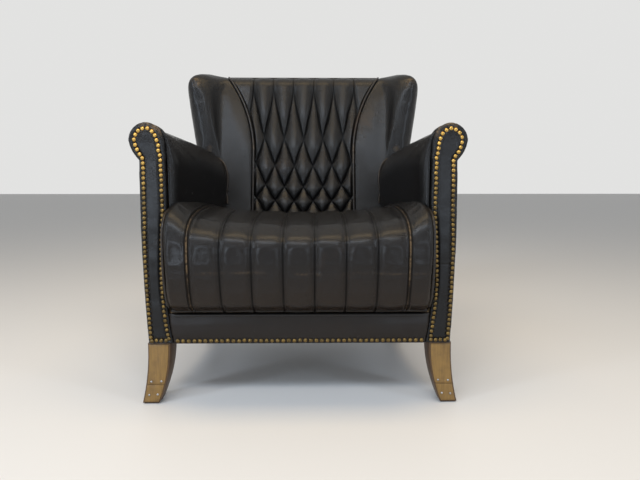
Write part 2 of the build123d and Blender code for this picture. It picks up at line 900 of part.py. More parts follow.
# Outer arm panel: flat leather-covered board under the roll, back to the outer back panel
panel_sag = sag(panel_half, barrel_radius - board_depth)
panel_end = Plane(
    origin=back_section(0).from_local_coords((0, -board_depth - panel_sag, 0)),
    x_dir=(1, 0, 0),
    z_dir=(0, -lean_cosine, lean_sine),
)
roll_run = (arm_end_y - inner_front_y) / math.cos(math.atan2(side_draw, side_run))
roll_slope = (arm_joint_z - tuck_z) / roll_run
with BuildPart() as outer_arm_panel:
    with BuildSketch(side_plane):
        Polygon(
            (-cut_overrun, base_z),
            (side_length + 2 * cut_overrun, base_z),
            (side_length + 2 * cut_overrun, arm_joint_z - fit_gap),
            (roll_run, arm_joint_z - fit_gap),
            (-cut_overrun, tuck_z - fit_gap - cut_overrun * roll_slope),
            align=None,
        )
    extrude(amount=panel_thickness)
    split(bisect_by=cross_plane(inner_front_y), keep=Keep.BOTTOM)
    split(bisect_by=panel_end, keep=Keep.TOP)
save_pair(outer_arm_panel.part, "outer_arm_panel")

# Apron panel between the arm facings, and the welt along its top
with BuildPart() as apron:
    with BuildSketch(cross_plane(front_y)):
        with Locations((0, (base_z + frame_top) / 2)):
            Rectangle(2 * foot_outer_x, rail_height)
    extrude(amount=-facing_thickness)
    add(facing.part, mode=Mode.SUBTRACT)
    add(mirror(facing.part, about=Plane.YZ), mode=Mode.SUBTRACT)
save(apron.part, "apron_panel")

welt_half = post_inner_x - facing_bow
with BuildPart() as apron_welt:
    with BuildSketch(Plane.YZ):
        with Locations((front_y - welt_radius - fit_gap, frame_top - welt_radius)):
            Circle(welt_radius)
    extrude(amount=welt_half, both=True)
save(apron_welt.part, "apron_welt")

# Seat: everything in it keeps to one tapered plan with rounded front corners
arm_slope = (arm_inner_front_width - arm_inner_rear_width) / 2 / (arm_end_y - inner_front_y)
seat_lean = arm_inner_front_width / 2 - inner_scroll_x
seat_share = (seat_rear_height + seat_rise + flute_crown - pad_low_z) / (inner_scroll_z - pad_low_z)


def seat_half(y):
    """Half width of the seat at y, clear of the inside arms."""
    front_half = arm_inner_front_width / 2 - seat_lean * seat_share - fit_gap
    return front_half - (y - inner_front_y) * arm_slope


seat_deep_y = back_y(board_front_depth + back_post_size, frame_top)
with BuildPart() as seat_plan:
    with BuildSketch(Plane.XY.offset(pad_low_z)) as plan:
        Polygon(
            (-seat_half(seat_front_y), seat_front_y - band_crown),
            (seat_half(seat_front_y), seat_front_y - band_crown),
            (seat_half(seat_deep_y), seat_deep_y),
            (-seat_half(seat_deep_y), seat_deep_y),
            align=None,
        )
        fillet(plan.vertices().group_by(Axis.Y)[0], radius=seat_corner_radius)
    extrude(amount=overall_height - pad_low_z)

# The springs lie on the rails, with hessian and stuffing over them
wire_z = frame_top + clip_thickness
deck_z = wire_z + spring_wire + hessian_thickness
tack_line_y = post_back_y - clip_length - clip_setback
top_slope = seat_rise / (face_origin_y - seat_front_y)
top_tangent = (-1, top_slope)
top_angle = math.atan(top_slope)
nose_sine = math.sin(math.radians(seat_nose_angle) - top_angle)
nose_run = seat_nose_radius * (nose_sine + math.sin(top_angle)) + seat_front_radius * (1 - nose_sine)
nose_start_y = seat_front_y + band_crown + nose_run
top_run = seat_deep_y + cut_overrun - nose_start_y


def seat_path(depth):
    """Side outline of the seat, `depth` under its flute seams, with X along the chair's Y."""
    inward = (depth * math.sin(top_angle), -depth * math.cos(top_angle))
    nose_start = (nose_start_y + inward[0], seat_rear_height + seat_rise + inward[1])
    rear = (nose_start[0] + top_run, nose_start[1] - top_run * top_slope)
    with BuildLine() as path:
        Line(rear, nose_start)
        nose = JernArc(nose_start, top_tangent, seat_nose_radius - depth, seat_nose_angle)
        JernArc(nose @ 1, (nose % 1), seat_front_radius - depth, seat_front_angle)
    return path.line


with BuildPart() as seat_cover:
    cover_path = Plane.YZ * seat_path(0)
    flutes_half = flute_count * flute_pitch / 2
    band_half = seat_half(seat_front_y) + fit_gap
    section = [(-band_half, -cover_thickness), (-band_half, 0)]
    band_points = [(share * (band_half - flutes_half), band_crown * rise) for share, rise in band_shares]
    section.extend((-band_half + reach, rise) for reach, rise in band_points)
    for flute in range(flute_count):
        for share, rise in flute_shares:
            flute_x = (flute + share) * flute_pitch - flutes_half
            dip = seat_dip * (1 - (flute_x / flutes_half) ** 2)
            section.append((flute_x, flute_crown * rise - dip))
    section.append((flutes_half, 0))
    section.extend((flutes_half + reach, rise) for reach, rise in band_points)
    section.extend(((band_half, 0), (band_half, -cover_thickness)))
    add(faceted_sweep(cover_path, (1, nose_facets, front_facets), (1, 0, 0), section))
    add(seat_plan.part, mode=Mode.INTERSECT)
    split(bisect_by=face_plane.offset(fit_gap), keep=Keep.TOP)
    with BuildSketch(Plane.YZ):
        with Locations((tack_line_y + overall_depth / 2, pad_low_z)):
            Rectangle(overall_depth, 2 * (deck_z - pad_low_z + fit_gap))
    extrude(amount=overall_width / 2, both=True, mode=Mode.SUBTRACT)
save(seat_cover.part, "seat_cover")

with BuildPart() as seat_stuffing:
    inner_path = seat_path(cover_thickness + fit_gap)
    with BuildSketch(Plane.YZ):
        with BuildLine():
            add(inner_path)
            Polyline(inner_path @ 1, ((inner_path @ 0).X, (inner_path @ 1).Y), inner_path @ 0)
        make_face()
    extrude(amount=overall_width / 2, both=True)
    add(seat_plan.part, mode=Mode.INTERSECT)
    split(bisect_by=Plane.XY.offset(deck_z), keep=Keep.TOP)
    split(bisect_by=Plane.XY.offset(back_pad_low - fit_gap), keep=Keep.BOTTOM)
save(seat_stuffing.part, "seat_stuffing")

with BuildPart() as hessian:
    with BuildSketch(Plane.XY.offset(wire_z + spring_wire)):
        Polygon(
            (-seat_half(tack_line_y), tack_line_y + fit_gap),
            (seat_half(tack_line_y), tack_line_y + fit_gap),
            (seat_half(seat_deep_y), seat_deep_y),
            (-seat_half(seat_deep_y), seat_deep_y),
            align=None,
        )
    extrude(amount=hessian_thickness)
save(hessian.part, "seat_hessian")

# Zigzag springs from the front rail to the rear rail, each end in a clip
spring_places = [(index - (spring_count - 1) / 2) * spring_pitch for index in range(spring_count)]
spring_front_y = post_back_y - clip_length / 2


def spring_end_y(x):
    """Y of the rear end of the spring at x, over the curved rear rail."""
    return back_y(board_front_depth, frame_top, abs(x) + clip_width / 2) + clip_length / 2


with BuildPart() as seat_springs:
    for spring_x in spring_places:
        length = spring_end_y(spring_x) - spring_front_y
        turns = round(length / spring_turn)
        step = length / turns
        points = [(spring_x, spring_front_y)]
        for turn in range(turns):
            swing = spring_width / 2 if turn % 2 else -spring_width / 2
            start_y = spring_front_y + turn * step
            points.append((spring_x + swing, start_y + step * spring_bend_share))
            points.append((spring_x + swing, start_y + step * (1 - spring_bend_share)))
        points.append((spring_x, spring_front_y + length))
        with BuildSketch(Plane.XY.offset(wire_z)):
            with BuildLine():
                Polyline(*points)
            trace(line_width=spring_wire)
        extrude(amount=spring_wire)
save(seat_springs.part, "seat_springs")

with BuildPart() as spring_clips:
    with BuildSketch(Plane.XY.offset(frame_top)):
        for spring_x in spring_places:
            with Locations((spring_x, spring_front_y), (spring_x, spring_end_y(spring_x))):
                Rectangle(clip_width, clip_length)
    extrude(amount=clip_thickness)
save(spring_clips.part, "spring_clips")

# Dust cover under the seat frame, clear of the legs
with BuildPart() as dust_cover:
    cover_front_y = inner_front_y + fit_gap
    cover_leg_y = rear_leg_y - rear_leg_depth / 2 - dust_cover_margin
    cover_front_half = overall_width / 2 - front_leg_inset - front_leg_width - dust_cover_margin
    cover_rear_half = inner_rail_x(cover_leg_y) + rail_thickness / 2
    cover_neck_half = cover_rear_half - rear_leg_width
    cover_depth = board_front_depth - back_board_thickness / 2
    cover_rear = (cover_neck_half, back_y(cover_depth, base_z, cover_neck_half))
    cover_middle = (0, back_y(cover_depth, base_z))
    with BuildSketch(Plane.XY.offset(base_z - dust_cover_thickness)):
        with BuildLine():
            Polyline(
                (0, cover_front_y),
                (cover_front_half, cover_front_y),
                (cover_front_half, cover_front_y + front_leg_depth),
                (cover_rear_half, cover_leg_y),
                (cover_neck_half, cover_leg_y),
                cover_rear,
            )
            RadiusArc(cover_rear, cover_middle, radius=-(barrel_radius - cover_depth))
            Line(cover_middle, (0, cover_front_y))
        make_face()
        mirror(about=Plane.YZ)
    extrude(amount=dust_cover_thickness)
save(dust_cover.part, "dust_cover")


# Legs: each cut from a front outline and a side outline, so that it splays in a curve
def leg_outline(top, foot, width, foot_width, belly):
    """Outline between two leading edges: the same bow on both sides, from foot to top."""
    waist = top + (foot - top) * leg_bow_share
    waist_width = width + (foot_width - width) * belly
    with BuildSketch() as outline:
        with BuildLine():
            ThreePointArc((foot, glide_thickness), (waist, leg_waist_height), (top, base_z))
            Line((top, base_z), (top + width, base_z))
            ThreePointArc(
                (top + width, base_z),
                (waist + waist_width, leg_waist_height),
                (foot + foot_width, glide_thickness),
            )
            Line((foot + foot_width, glide_thickness), (foot, glide_thickness))
        make_face()
    return outline.sketch


front_leg_x = overall_width / 2 - front_leg_inset - front_leg_width
front_foot_x = overall_width / 2 - front_foot_inset - front_foot_width
front_leg_y = inner_front_y - front_leg_advance
front_view = leg_outline(front_leg_x, front_foot_x, front_leg_width, front_foot_width, leg_bow_share)
side_view = leg_outline(
    front_leg_y, front_leg_y - front_foot_advance, front_leg_depth, front_foot_depth, leg_side_share
)
rear_leg_x = side_x(rear_leg_y) - rail_thickness / 2 - rear_leg_width / 2
rear_view = leg_outline(
    rear_leg_x, rear_leg_x + rear_leg_splay, rear_leg_width, rear_foot_width, leg_bow_share
)
rear_side_view = leg_outline(
    rear_leg_y - rear_leg_depth / 2,
    rear_leg_y - rear_leg_depth / 2 + rear_leg_rake,
    rear_leg_depth,
    rear_foot_depth,
    leg_bow_share,
)


def bolt_hole(y):
    """Bolt hole up into a leg, under the middle of the side rail."""
    x, y = bolt_place(y)
    with BuildPart() as hole:
        with BuildSketch(Plane.XY.offset(base_z - bolt_depth)):
            with Locations((x, y)):
                Circle(bolt_radius + bolt_gap)
        extrude(amount=bolt_depth)
    return hole.part


def leg_shape(front, side):
    """A solid cut from a front outline and a side outline."""
    with BuildPart() as side_cut:
        with BuildSketch(Plane.YZ):
            add(side)
        extrude(amount=overall_width, both=True)
    with BuildPart() as shape:
        with BuildSketch(Plane.XZ):
            add(front)
        extrude(amount=overall_depth, both=True)
        add(side_cut.part, mode=Mode.INTERSECT)
    return shape.part


def leg(front, side, bolt_y):
    """A right-hand leg from its two outlines, with its bolt hole."""
    with BuildPart() as shape:
        add(leg_shape(front, side))
        add(bolt_hole(bolt_y), mode=Mode.SUBTRACT)
    return shape.part


front_leg = leg(front_view, side_view, front_bolt_y)
rear_leg = leg(rear_view, rear_side_view, rear_bolt_y)
save_pair(front_leg, "front_leg")
save_pair(rear_leg, "rear_leg")

# Thin plates tacked on the front of each front leg: a long facing and a toe piece under it
with BuildSketch() as plate_view:
    add(front_view)
    offset(amount=-leg_facing_inset, kind=Kind.INTERSECTION)
plate_side = Pos(-leg_facing_thickness, 0) * side_view
with BuildPart() as leg_plate:
    add(leg_shape(plate_view.sketch, plate_side))
    add(leg_shape(front_view, side_view), mode=Mode.SUBTRACT)
with BuildPart() as leg_facing:
    add(leg_plate.part)
    split(bisect_by=Plane.XY.offset(toe_height + toe_gap), keep=Keep.TOP)
with BuildPart() as toe_piece:
    add(leg_plate.part)
    split(bisect_by=Plane.XY.offset(toe_height), keep=Keep.BOTTOM)
save_pair(leg_facing.part, "leg_facing")
save_pair(toe_piece.part, "toe_piece")

# Bolts up through the legs into the side rails, and glides under the feet
with BuildPart() as leg_bolts:
    with BuildSketch(Plane.XY.offset(base_z - bolt_depth)):
        with Locations(bolt_place(front_bolt_y), bolt_place(rear_bolt_y)):
            Circle(bolt_radius)
    extrude(amount=2 * bolt_depth)
    mirror(about=Plane.YZ)
save(leg_bolts.part, "leg_bolts")

rear_foot_y = rear_leg_y - rear_leg_depth / 2 + rear_leg_rake
with BuildPart() as glides:
    with BuildSketch():
        with Locations(
            (front_foot_x + front_foot_width / 2, front_leg_y - front_foot_advance + front_foot_depth / 2)
        ):
            Rectangle(front_foot_width - 2 * glide_inset, front_foot_depth - 2 * glide_inset)
        with Locations(
            (rear_leg_x + rear_leg_splay + rear_foot_width / 2, rear_foot_y + rear_foot_depth / 2)
        ):
            Rectangle(rear_foot_width - 2 * glide_inset, rear_foot_depth - 2 * glide_inset)
    extrude(amount=glide_thickness)
    mirror(about=Plane.YZ)
save(glides.part, "leg_glides")
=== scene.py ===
import json
import logging
import math
from dataclasses import dataclass, field
from enum import Enum
from typing import Sequence

import bmesh
import bpy
import numpy as np
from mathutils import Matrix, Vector
from mathutils.bvhtree import BVHTree

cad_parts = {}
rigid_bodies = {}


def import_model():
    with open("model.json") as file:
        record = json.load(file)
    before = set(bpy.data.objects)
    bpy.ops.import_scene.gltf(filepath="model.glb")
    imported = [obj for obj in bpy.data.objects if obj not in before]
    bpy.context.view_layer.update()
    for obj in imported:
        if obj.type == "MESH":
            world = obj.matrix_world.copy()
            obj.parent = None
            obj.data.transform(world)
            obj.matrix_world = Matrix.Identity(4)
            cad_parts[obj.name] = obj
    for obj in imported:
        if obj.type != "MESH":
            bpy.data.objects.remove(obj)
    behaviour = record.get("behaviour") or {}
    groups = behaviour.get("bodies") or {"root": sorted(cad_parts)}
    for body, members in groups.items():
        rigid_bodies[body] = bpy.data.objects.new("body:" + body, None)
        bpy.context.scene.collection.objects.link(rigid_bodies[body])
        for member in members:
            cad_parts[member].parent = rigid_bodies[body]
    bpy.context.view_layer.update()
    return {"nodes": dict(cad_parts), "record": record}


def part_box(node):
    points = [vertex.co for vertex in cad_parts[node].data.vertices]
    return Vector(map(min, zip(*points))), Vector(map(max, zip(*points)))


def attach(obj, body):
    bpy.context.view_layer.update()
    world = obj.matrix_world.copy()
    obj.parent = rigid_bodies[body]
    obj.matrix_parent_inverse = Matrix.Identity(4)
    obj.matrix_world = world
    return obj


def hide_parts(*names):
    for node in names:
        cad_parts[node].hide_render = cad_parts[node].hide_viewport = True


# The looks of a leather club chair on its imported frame. Metres, +Z up; the chair faces -Y and right
# is +X. Sizes shared with the frame are written as the frame has them.

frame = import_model()
log = logging.getLogger("club_chair")

ROOT = "root"
MERGE_GAP = 1e-6


class Side(Enum):
    """The two sides of the chair, seen from the front."""

    LEFT = -1
    RIGHT = 1

    @property
    def word(self) -> str:
        """Name of the side as the frame's nodes spell it."""
        return self.name.lower()


class Slot(Enum):
    """Material slots of the record."""

    LEATHER = "leather"
    STUFFING = "stuffing"
    LINING = "lining"
    FRAME_WOOD = "frame_wood"
    LEG_WOOD = "leg_wood"
    LEG_PLATE = "leg_plate"
    STEEL = "spring_steel"
    GLIDE = "glide"


def deselect() -> None:
    """Leave nothing selected."""
    for piece in bpy.context.view_layer.objects:
        piece.select_set(False)


def activate(piece: bpy.types.Object) -> None:
    """Select one piece and make it the active one.

    Args:
        piece: The piece to select.
    """
    deselect()
    piece.select_set(True)
    bpy.context.view_layer.objects.active = piece


def apply_modifiers(piece: bpy.types.Object) -> None:
    """Apply every modifier of a piece, from the first to the last.

    Args:
        piece: The piece whose modifiers are applied.
    """
    activate(piece)
    for modifier in list(piece.modifiers):
        bpy.ops.object.modifier_apply(modifier=modifier.name)


def points_of(piece: bpy.types.Object) -> np.ndarray:
    """Vertex places of a piece, one row each.

    Args:
        piece: The piece to read.

    Returns:
        The places, in the order of its mesh.
    """
    flat = np.empty(len(piece.data.vertices) * 3, np.float64)
    piece.data.vertices.foreach_get("co", flat)
    return flat.reshape(-1, 3)


def move_points(piece: bpy.types.Object, points: np.ndarray) -> None:
    """Write new vertex places into a piece."""
    piece.data.vertices.foreach_set("co", points.astype(np.float32).ravel())
    piece.data.update()


def normals_of(piece: bpy.types.Object) -> np.ndarray:
    """Vertex normals of a piece, one row each.

    Args:
        piece: The piece to read.

    Returns:
        The normals, in the order of its mesh.
    """
    flat = np.empty(len(piece.data.vertices) * 3, np.float64)
    piece.data.vertices.foreach_get("normal", flat)
    return flat.reshape(-1, 3)


def face_outwards(piece: bpy.types.Object) -> None:
    """Merge doubled vertices and turn every face outwards.

    Args:
        piece: The piece to put in order.
    """
    activate(piece)
    bpy.ops.object.mode_set(mode="EDIT")
    bpy.ops.mesh.select_all(action="SELECT")
    bpy.ops.mesh.remove_doubles(threshold=MERGE_GAP)
    bpy.ops.mesh.normals_make_consistent(inside=False)
    bpy.ops.object.mode_set(mode="OBJECT")


def shade(piece: bpy.types.Object, angle: float = math.radians(50)) -> None:
    """Smooth the shading of a piece, keeping edges sharper than an angle."""
    activate(piece)
    bpy.ops.object.shade_smooth_by_angle(angle=angle)


def node_copy(node: str, name: str) -> bpy.types.Object:
    """Copy a CAD node into a new merged piece.

    Args:
        node: Name of the node.
        name: Name of the new piece.

    Returns:
        The piece, with no parent and no material.
    """
    mesh = frame["nodes"][node].data.copy()
    mesh.name = name
    mesh.materials.clear()
    piece = bpy.data.objects.new(name, mesh)
    bpy.context.scene.collection.objects.link(piece)
    face_outwards(piece)
    return piece


def set_float(piece: bpy.types.Object, name: str, values: np.ndarray) -> None:
    """Store one number per vertex under a name that materials can read.

    Args:
        piece: The piece that keeps the numbers.
        name: Name of the attribute.
        values: One number per vertex.
    """
    attribute = piece.data.attributes.get(name)
    if attribute is None:
        attribute = piece.data.attributes.new(name, "FLOAT", "POINT")
    attribute.data.foreach_set("value", values.astype(np.float32))


def get_float(piece: bpy.types.Object, name: str) -> np.ndarray:
    """Read back one number per vertex.

    Args:
        piece: The piece to read.
        name: Name of the attribute.

    Returns:
        One number per vertex.
    """
    values = np.empty(len(piece.data.vertices), np.float32)
    piece.data.attributes[name].data.foreach_get("value", values)
    return values.astype(np.float64)


def smooth_step(low: float, high: float, values: np.ndarray) -> np.ndarray:
    """Ease values from 0 at low to 1 at high."""
    share = np.clip((values - low) / (high - low), 0, 1)
    return share * share * (3 - 2 * share)


def ripple(points: np.ndarray, length: float, seed: int) -> np.ndarray:
    """Smooth pseudo-random waves from -1 to 1, made of a few tilted sines.

    Args:
        points: Places, one row each.
        length: About the distance from one wave to the next.
        seed: Picks one pattern of waves.

    Returns:
        One number per place.
    """
    source = np.random.default_rng(seed)
    total = np.zeros(len(points))
    count = 7
    for _ in range(count):
        direction = source.normal(size=points.shape[1])
        direction *= source.uniform(0.6, 1.5) * 2 * math.pi / length / np.linalg.norm(direction)
        total += np.sin(points @ direction + source.uniform(0, 2 * math.pi))
    return total / math.sqrt(count)


def dress(
    piece: bpy.types.Object,
    finish: bpy.types.Material,
    replaces: Sequence[str] = (),
) -> None:
    """Give a finished piece its material and its place in the assembly.

    Args:
        piece: The finished piece.
        finish: Its material.
        replaces: CAD nodes that it stands for.
    """
    piece.data.materials.clear()
    piece.data.materials.append(finish)
    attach(piece, ROOT)
    if replaces:
        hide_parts(*replaces)
    log.info("piece %s: %d faces", piece.name, len(piece.data.polygons))


@dataclass
class Padding:
    """Swells a piece as leather over stuffing, by a short cloth simulation."""

    pressure: float = 4.0
    frames: int = 20
    cap: float = 0.006
    stiffness: float = 15.0
    bending: float = 2.0
    grades: tuple[float, ...] = (0.25, 0.5, 0.75, 1.0)

    def swell(self, piece: bpy.types.Object, held: np.ndarray) -> None:
        """Run the cloth and keep its result, with each point's move capped.

        Args:
            piece: The piece to swell.
            held: Per vertex, from 0 where it is free to 1 where it is tacked down.
        """
        start = points_of(piece)
        group = piece.vertex_groups.new(name="held")
        for grade in self.grades:
            chosen = np.nonzero(held >= grade - self.grades[0] / 2)[0]
            group.add(chosen.tolist(), grade, "REPLACE")
        cloth = piece.modifiers.new("padding", "CLOTH")
        settings = cloth.settings
        settings.vertex_group_mass = group.name
        settings.use_pressure = True
        settings.uniform_pressure_force = self.pressure
        settings.tension_stiffness = self.stiffness
        settings.compression_stiffness = self.stiffness
        settings.bending_stiffness = self.bending
        settings.effector_weights.gravity = 0
        settings.quality = 4
        cloth.collision_settings.use_collision = False
        cloth.point_cache.frame_start = 1
        cloth.point_cache.frame_end = self.frames
        for number in range(1, self.frames + 1):
            bpy.context.scene.frame_set(number)
        shaped = piece.evaluated_get(bpy.context.evaluated_depsgraph_get())
        flat = np.empty(len(start) * 3, np.float64)
        shaped.data.vertices.foreach_get("co", flat)
        move = flat.reshape(-1, 3) - start
        length = np.maximum(np.linalg.norm(move, axis=1), 1e-9)
        move *= np.minimum(1, self.cap / length)[:, None] * (1 - np.clip(held, 0, 1))[:, None]
        piece.modifiers.remove(cloth)
        piece.vertex_groups.remove(group)
        bpy.context.scene.frame_set(1)
        move_points(piece, start + move)


def remesh(piece: bpy.types.Object, voxel: float) -> None:
    """Rebuild a piece's skin as an even net of quads.

    Args:
        piece: The piece to rebuild.
        voxel: Width of a quad.
    """
    modifier = piece.modifiers.new("net", "REMESH")
    modifier.mode = "VOXEL"
    modifier.voxel_size = voxel
    apply_modifiers(piece)


def soften(piece: bpy.types.Object, rounds: int, factor: float = 0.5) -> None:
    """Smooth a piece's skin by averaging neighbours.

    Args:
        piece: The piece to smooth.
        rounds: How often the averaging is repeated.
        factor: How far a point moves to the average of its neighbours.
    """
    modifier = piece.modifiers.new("soften", "SMOOTH")
    modifier.factor = factor
    modifier.iterations = rounds
    apply_modifiers(piece)


def subdivide(piece: bpy.types.Object, levels: int = 1) -> None:
    """Subdivide a piece's skin smoothly.

    Args:
        piece: The piece to make finer.
        levels: How often each face is divided.
    """
    modifier = piece.modifiers.new("finer", "SUBSURF")
    modifier.levels = levels
    modifier.render_levels = levels
    apply_modifiers(piece)


def bevel(piece: bpy.types.Object, width: float, segments: int, angle: float = math.radians(35)) -> None:
    """Round the sharp edges of a piece.

    Args:
        piece: The piece to round.
        width: Width of the rounding.
        segments: Faces across the rounding.
        angle: Edges flatter than this stay as they are.
    """
    modifier = piece.modifiers.new("rounding", "BEVEL")
    modifier.width = width
    modifier.segments = segments
    modifier.limit_method = "ANGLE"
    modifier.angle_limit = angle
    modifier.harden_normals = False
    apply_modifiers(piece)


def sheet(name: str, columns: int, rows: int) -> tuple[bpy.types.Object, np.ndarray, np.ndarray]:
    """Add a flat net of quads.

    Args:
        name: Name of the piece.
        columns: Quads across.
        rows: Quads along.

    Returns:
        The piece, and for each vertex how far it is across and along, from 0 to 1.
    """
    deselect()
    bpy.ops.mesh.primitive_grid_add(x_subdivisions=columns, y_subdivisions=rows, size=1)
    piece = bpy.context.active_object
    piece.name = name
    piece.data.name = name
    points = points_of(piece)
    return piece, points[:, 0] + 0.5, points[:, 1] + 0.5


def close_behind(piece: bpy.types.Object, shift: tuple[float, float, float]) -> None:
    """Close an open skin with a wall along its rim and a face behind.

    Args:
        piece: The open skin.
        shift: The way from the rim to the face behind.
    """
    activate(piece)
    bpy.ops.object.mode_set(mode="EDIT")
    bpy.ops.mesh.select_mode(type="EDGE")
    bpy.ops.mesh.select_all(action="DESELECT")
    bpy.ops.mesh.select_non_manifold()
    bpy.ops.mesh.extrude_region_move(TRANSFORM_OT_translate={"value": shift})
    bpy.ops.mesh.edge_face_add()
    bpy.ops.mesh.select_all(action="SELECT")
    bpy.ops.mesh.normals_make_consistent(inside=False)
    bpy.ops.mesh.select_mode(type="VERT")
    bpy.ops.object.mode_set(mode="OBJECT")


def tube(name: str, path: np.ndarray, radius: float, sides: int = 10) -> bpy.types.Object:
    """Sweep a round piping along a line of points.

    Args:
        name: Name of the piece.
        path: Points of the line, one row each.
        radius: Radius of the piping.
        sides: Faces round it.

    Returns:
        The piping, as a mesh with closed ends.
    """
    curve = bpy.data.curves.new(name, "CURVE")
    curve.dimensions = "3D"
    curve.bevel_depth = radius
    curve.bevel_resolution = max(1, (sides - 4) // 2)
    curve.use_fill_caps = True
    spline = curve.splines.new("POLY")
    spline.points.add(len(path) - 1)
    for point, place in zip(spline.points, path):
        point.co = (*place, 1)
    piece = bpy.data.objects.new(name, curve)
    bpy.context.scene.collection.objects.link(piece)
    activate(piece)
    bpy.ops.object.convert(target="MESH")
    piece = bpy.context.active_object
    face_outwards(piece)
    shade(piece, math.radians(60))
    return piece


def repeat_piece(
    name: str, pattern: bpy.types.Object, places: Sequence[tuple[Vector, Vector, Vector]]
) -> bpy.types.Object:
    """Join copies of a small pattern piece, and remove the pattern.

    Args:
        name: Name of the joined piece.
        pattern: The small piece, modelled at the origin with its top along +Z.
        places: For each copy its place, its top direction and its lengthwise direction.

    Returns:
        One mesh with all the copies.
    """
    corners = points_of(pattern)
    faces = [tuple(face.vertices) for face in pattern.data.polygons]
    all_points: list[np.ndarray] = []
    all_faces: list[tuple[int, ...]] = []
    for number, (place, top, lengthwise) in enumerate(places):
        up = top.normalized()
        along = (lengthwise - up * lengthwise.dot(up)).normalized()
        turn = np.array([along, up.cross(along), up]).T
        all_points.append(corners @ turn.T + np.array(place))
        start = number * len(corners)
        all_faces.extend(tuple(start + corner for corner in face) for face in faces)
    mesh = bpy.data.meshes.new(name)
    mesh.from_pydata(np.concatenate(all_points).tolist(), [], all_faces)
    piece = bpy.data.objects.new(name, mesh)
    bpy.context.scene.collection.objects.link(piece)
    bpy.data.objects.remove(pattern)
    shade(piece, math.radians(60))
    return piece


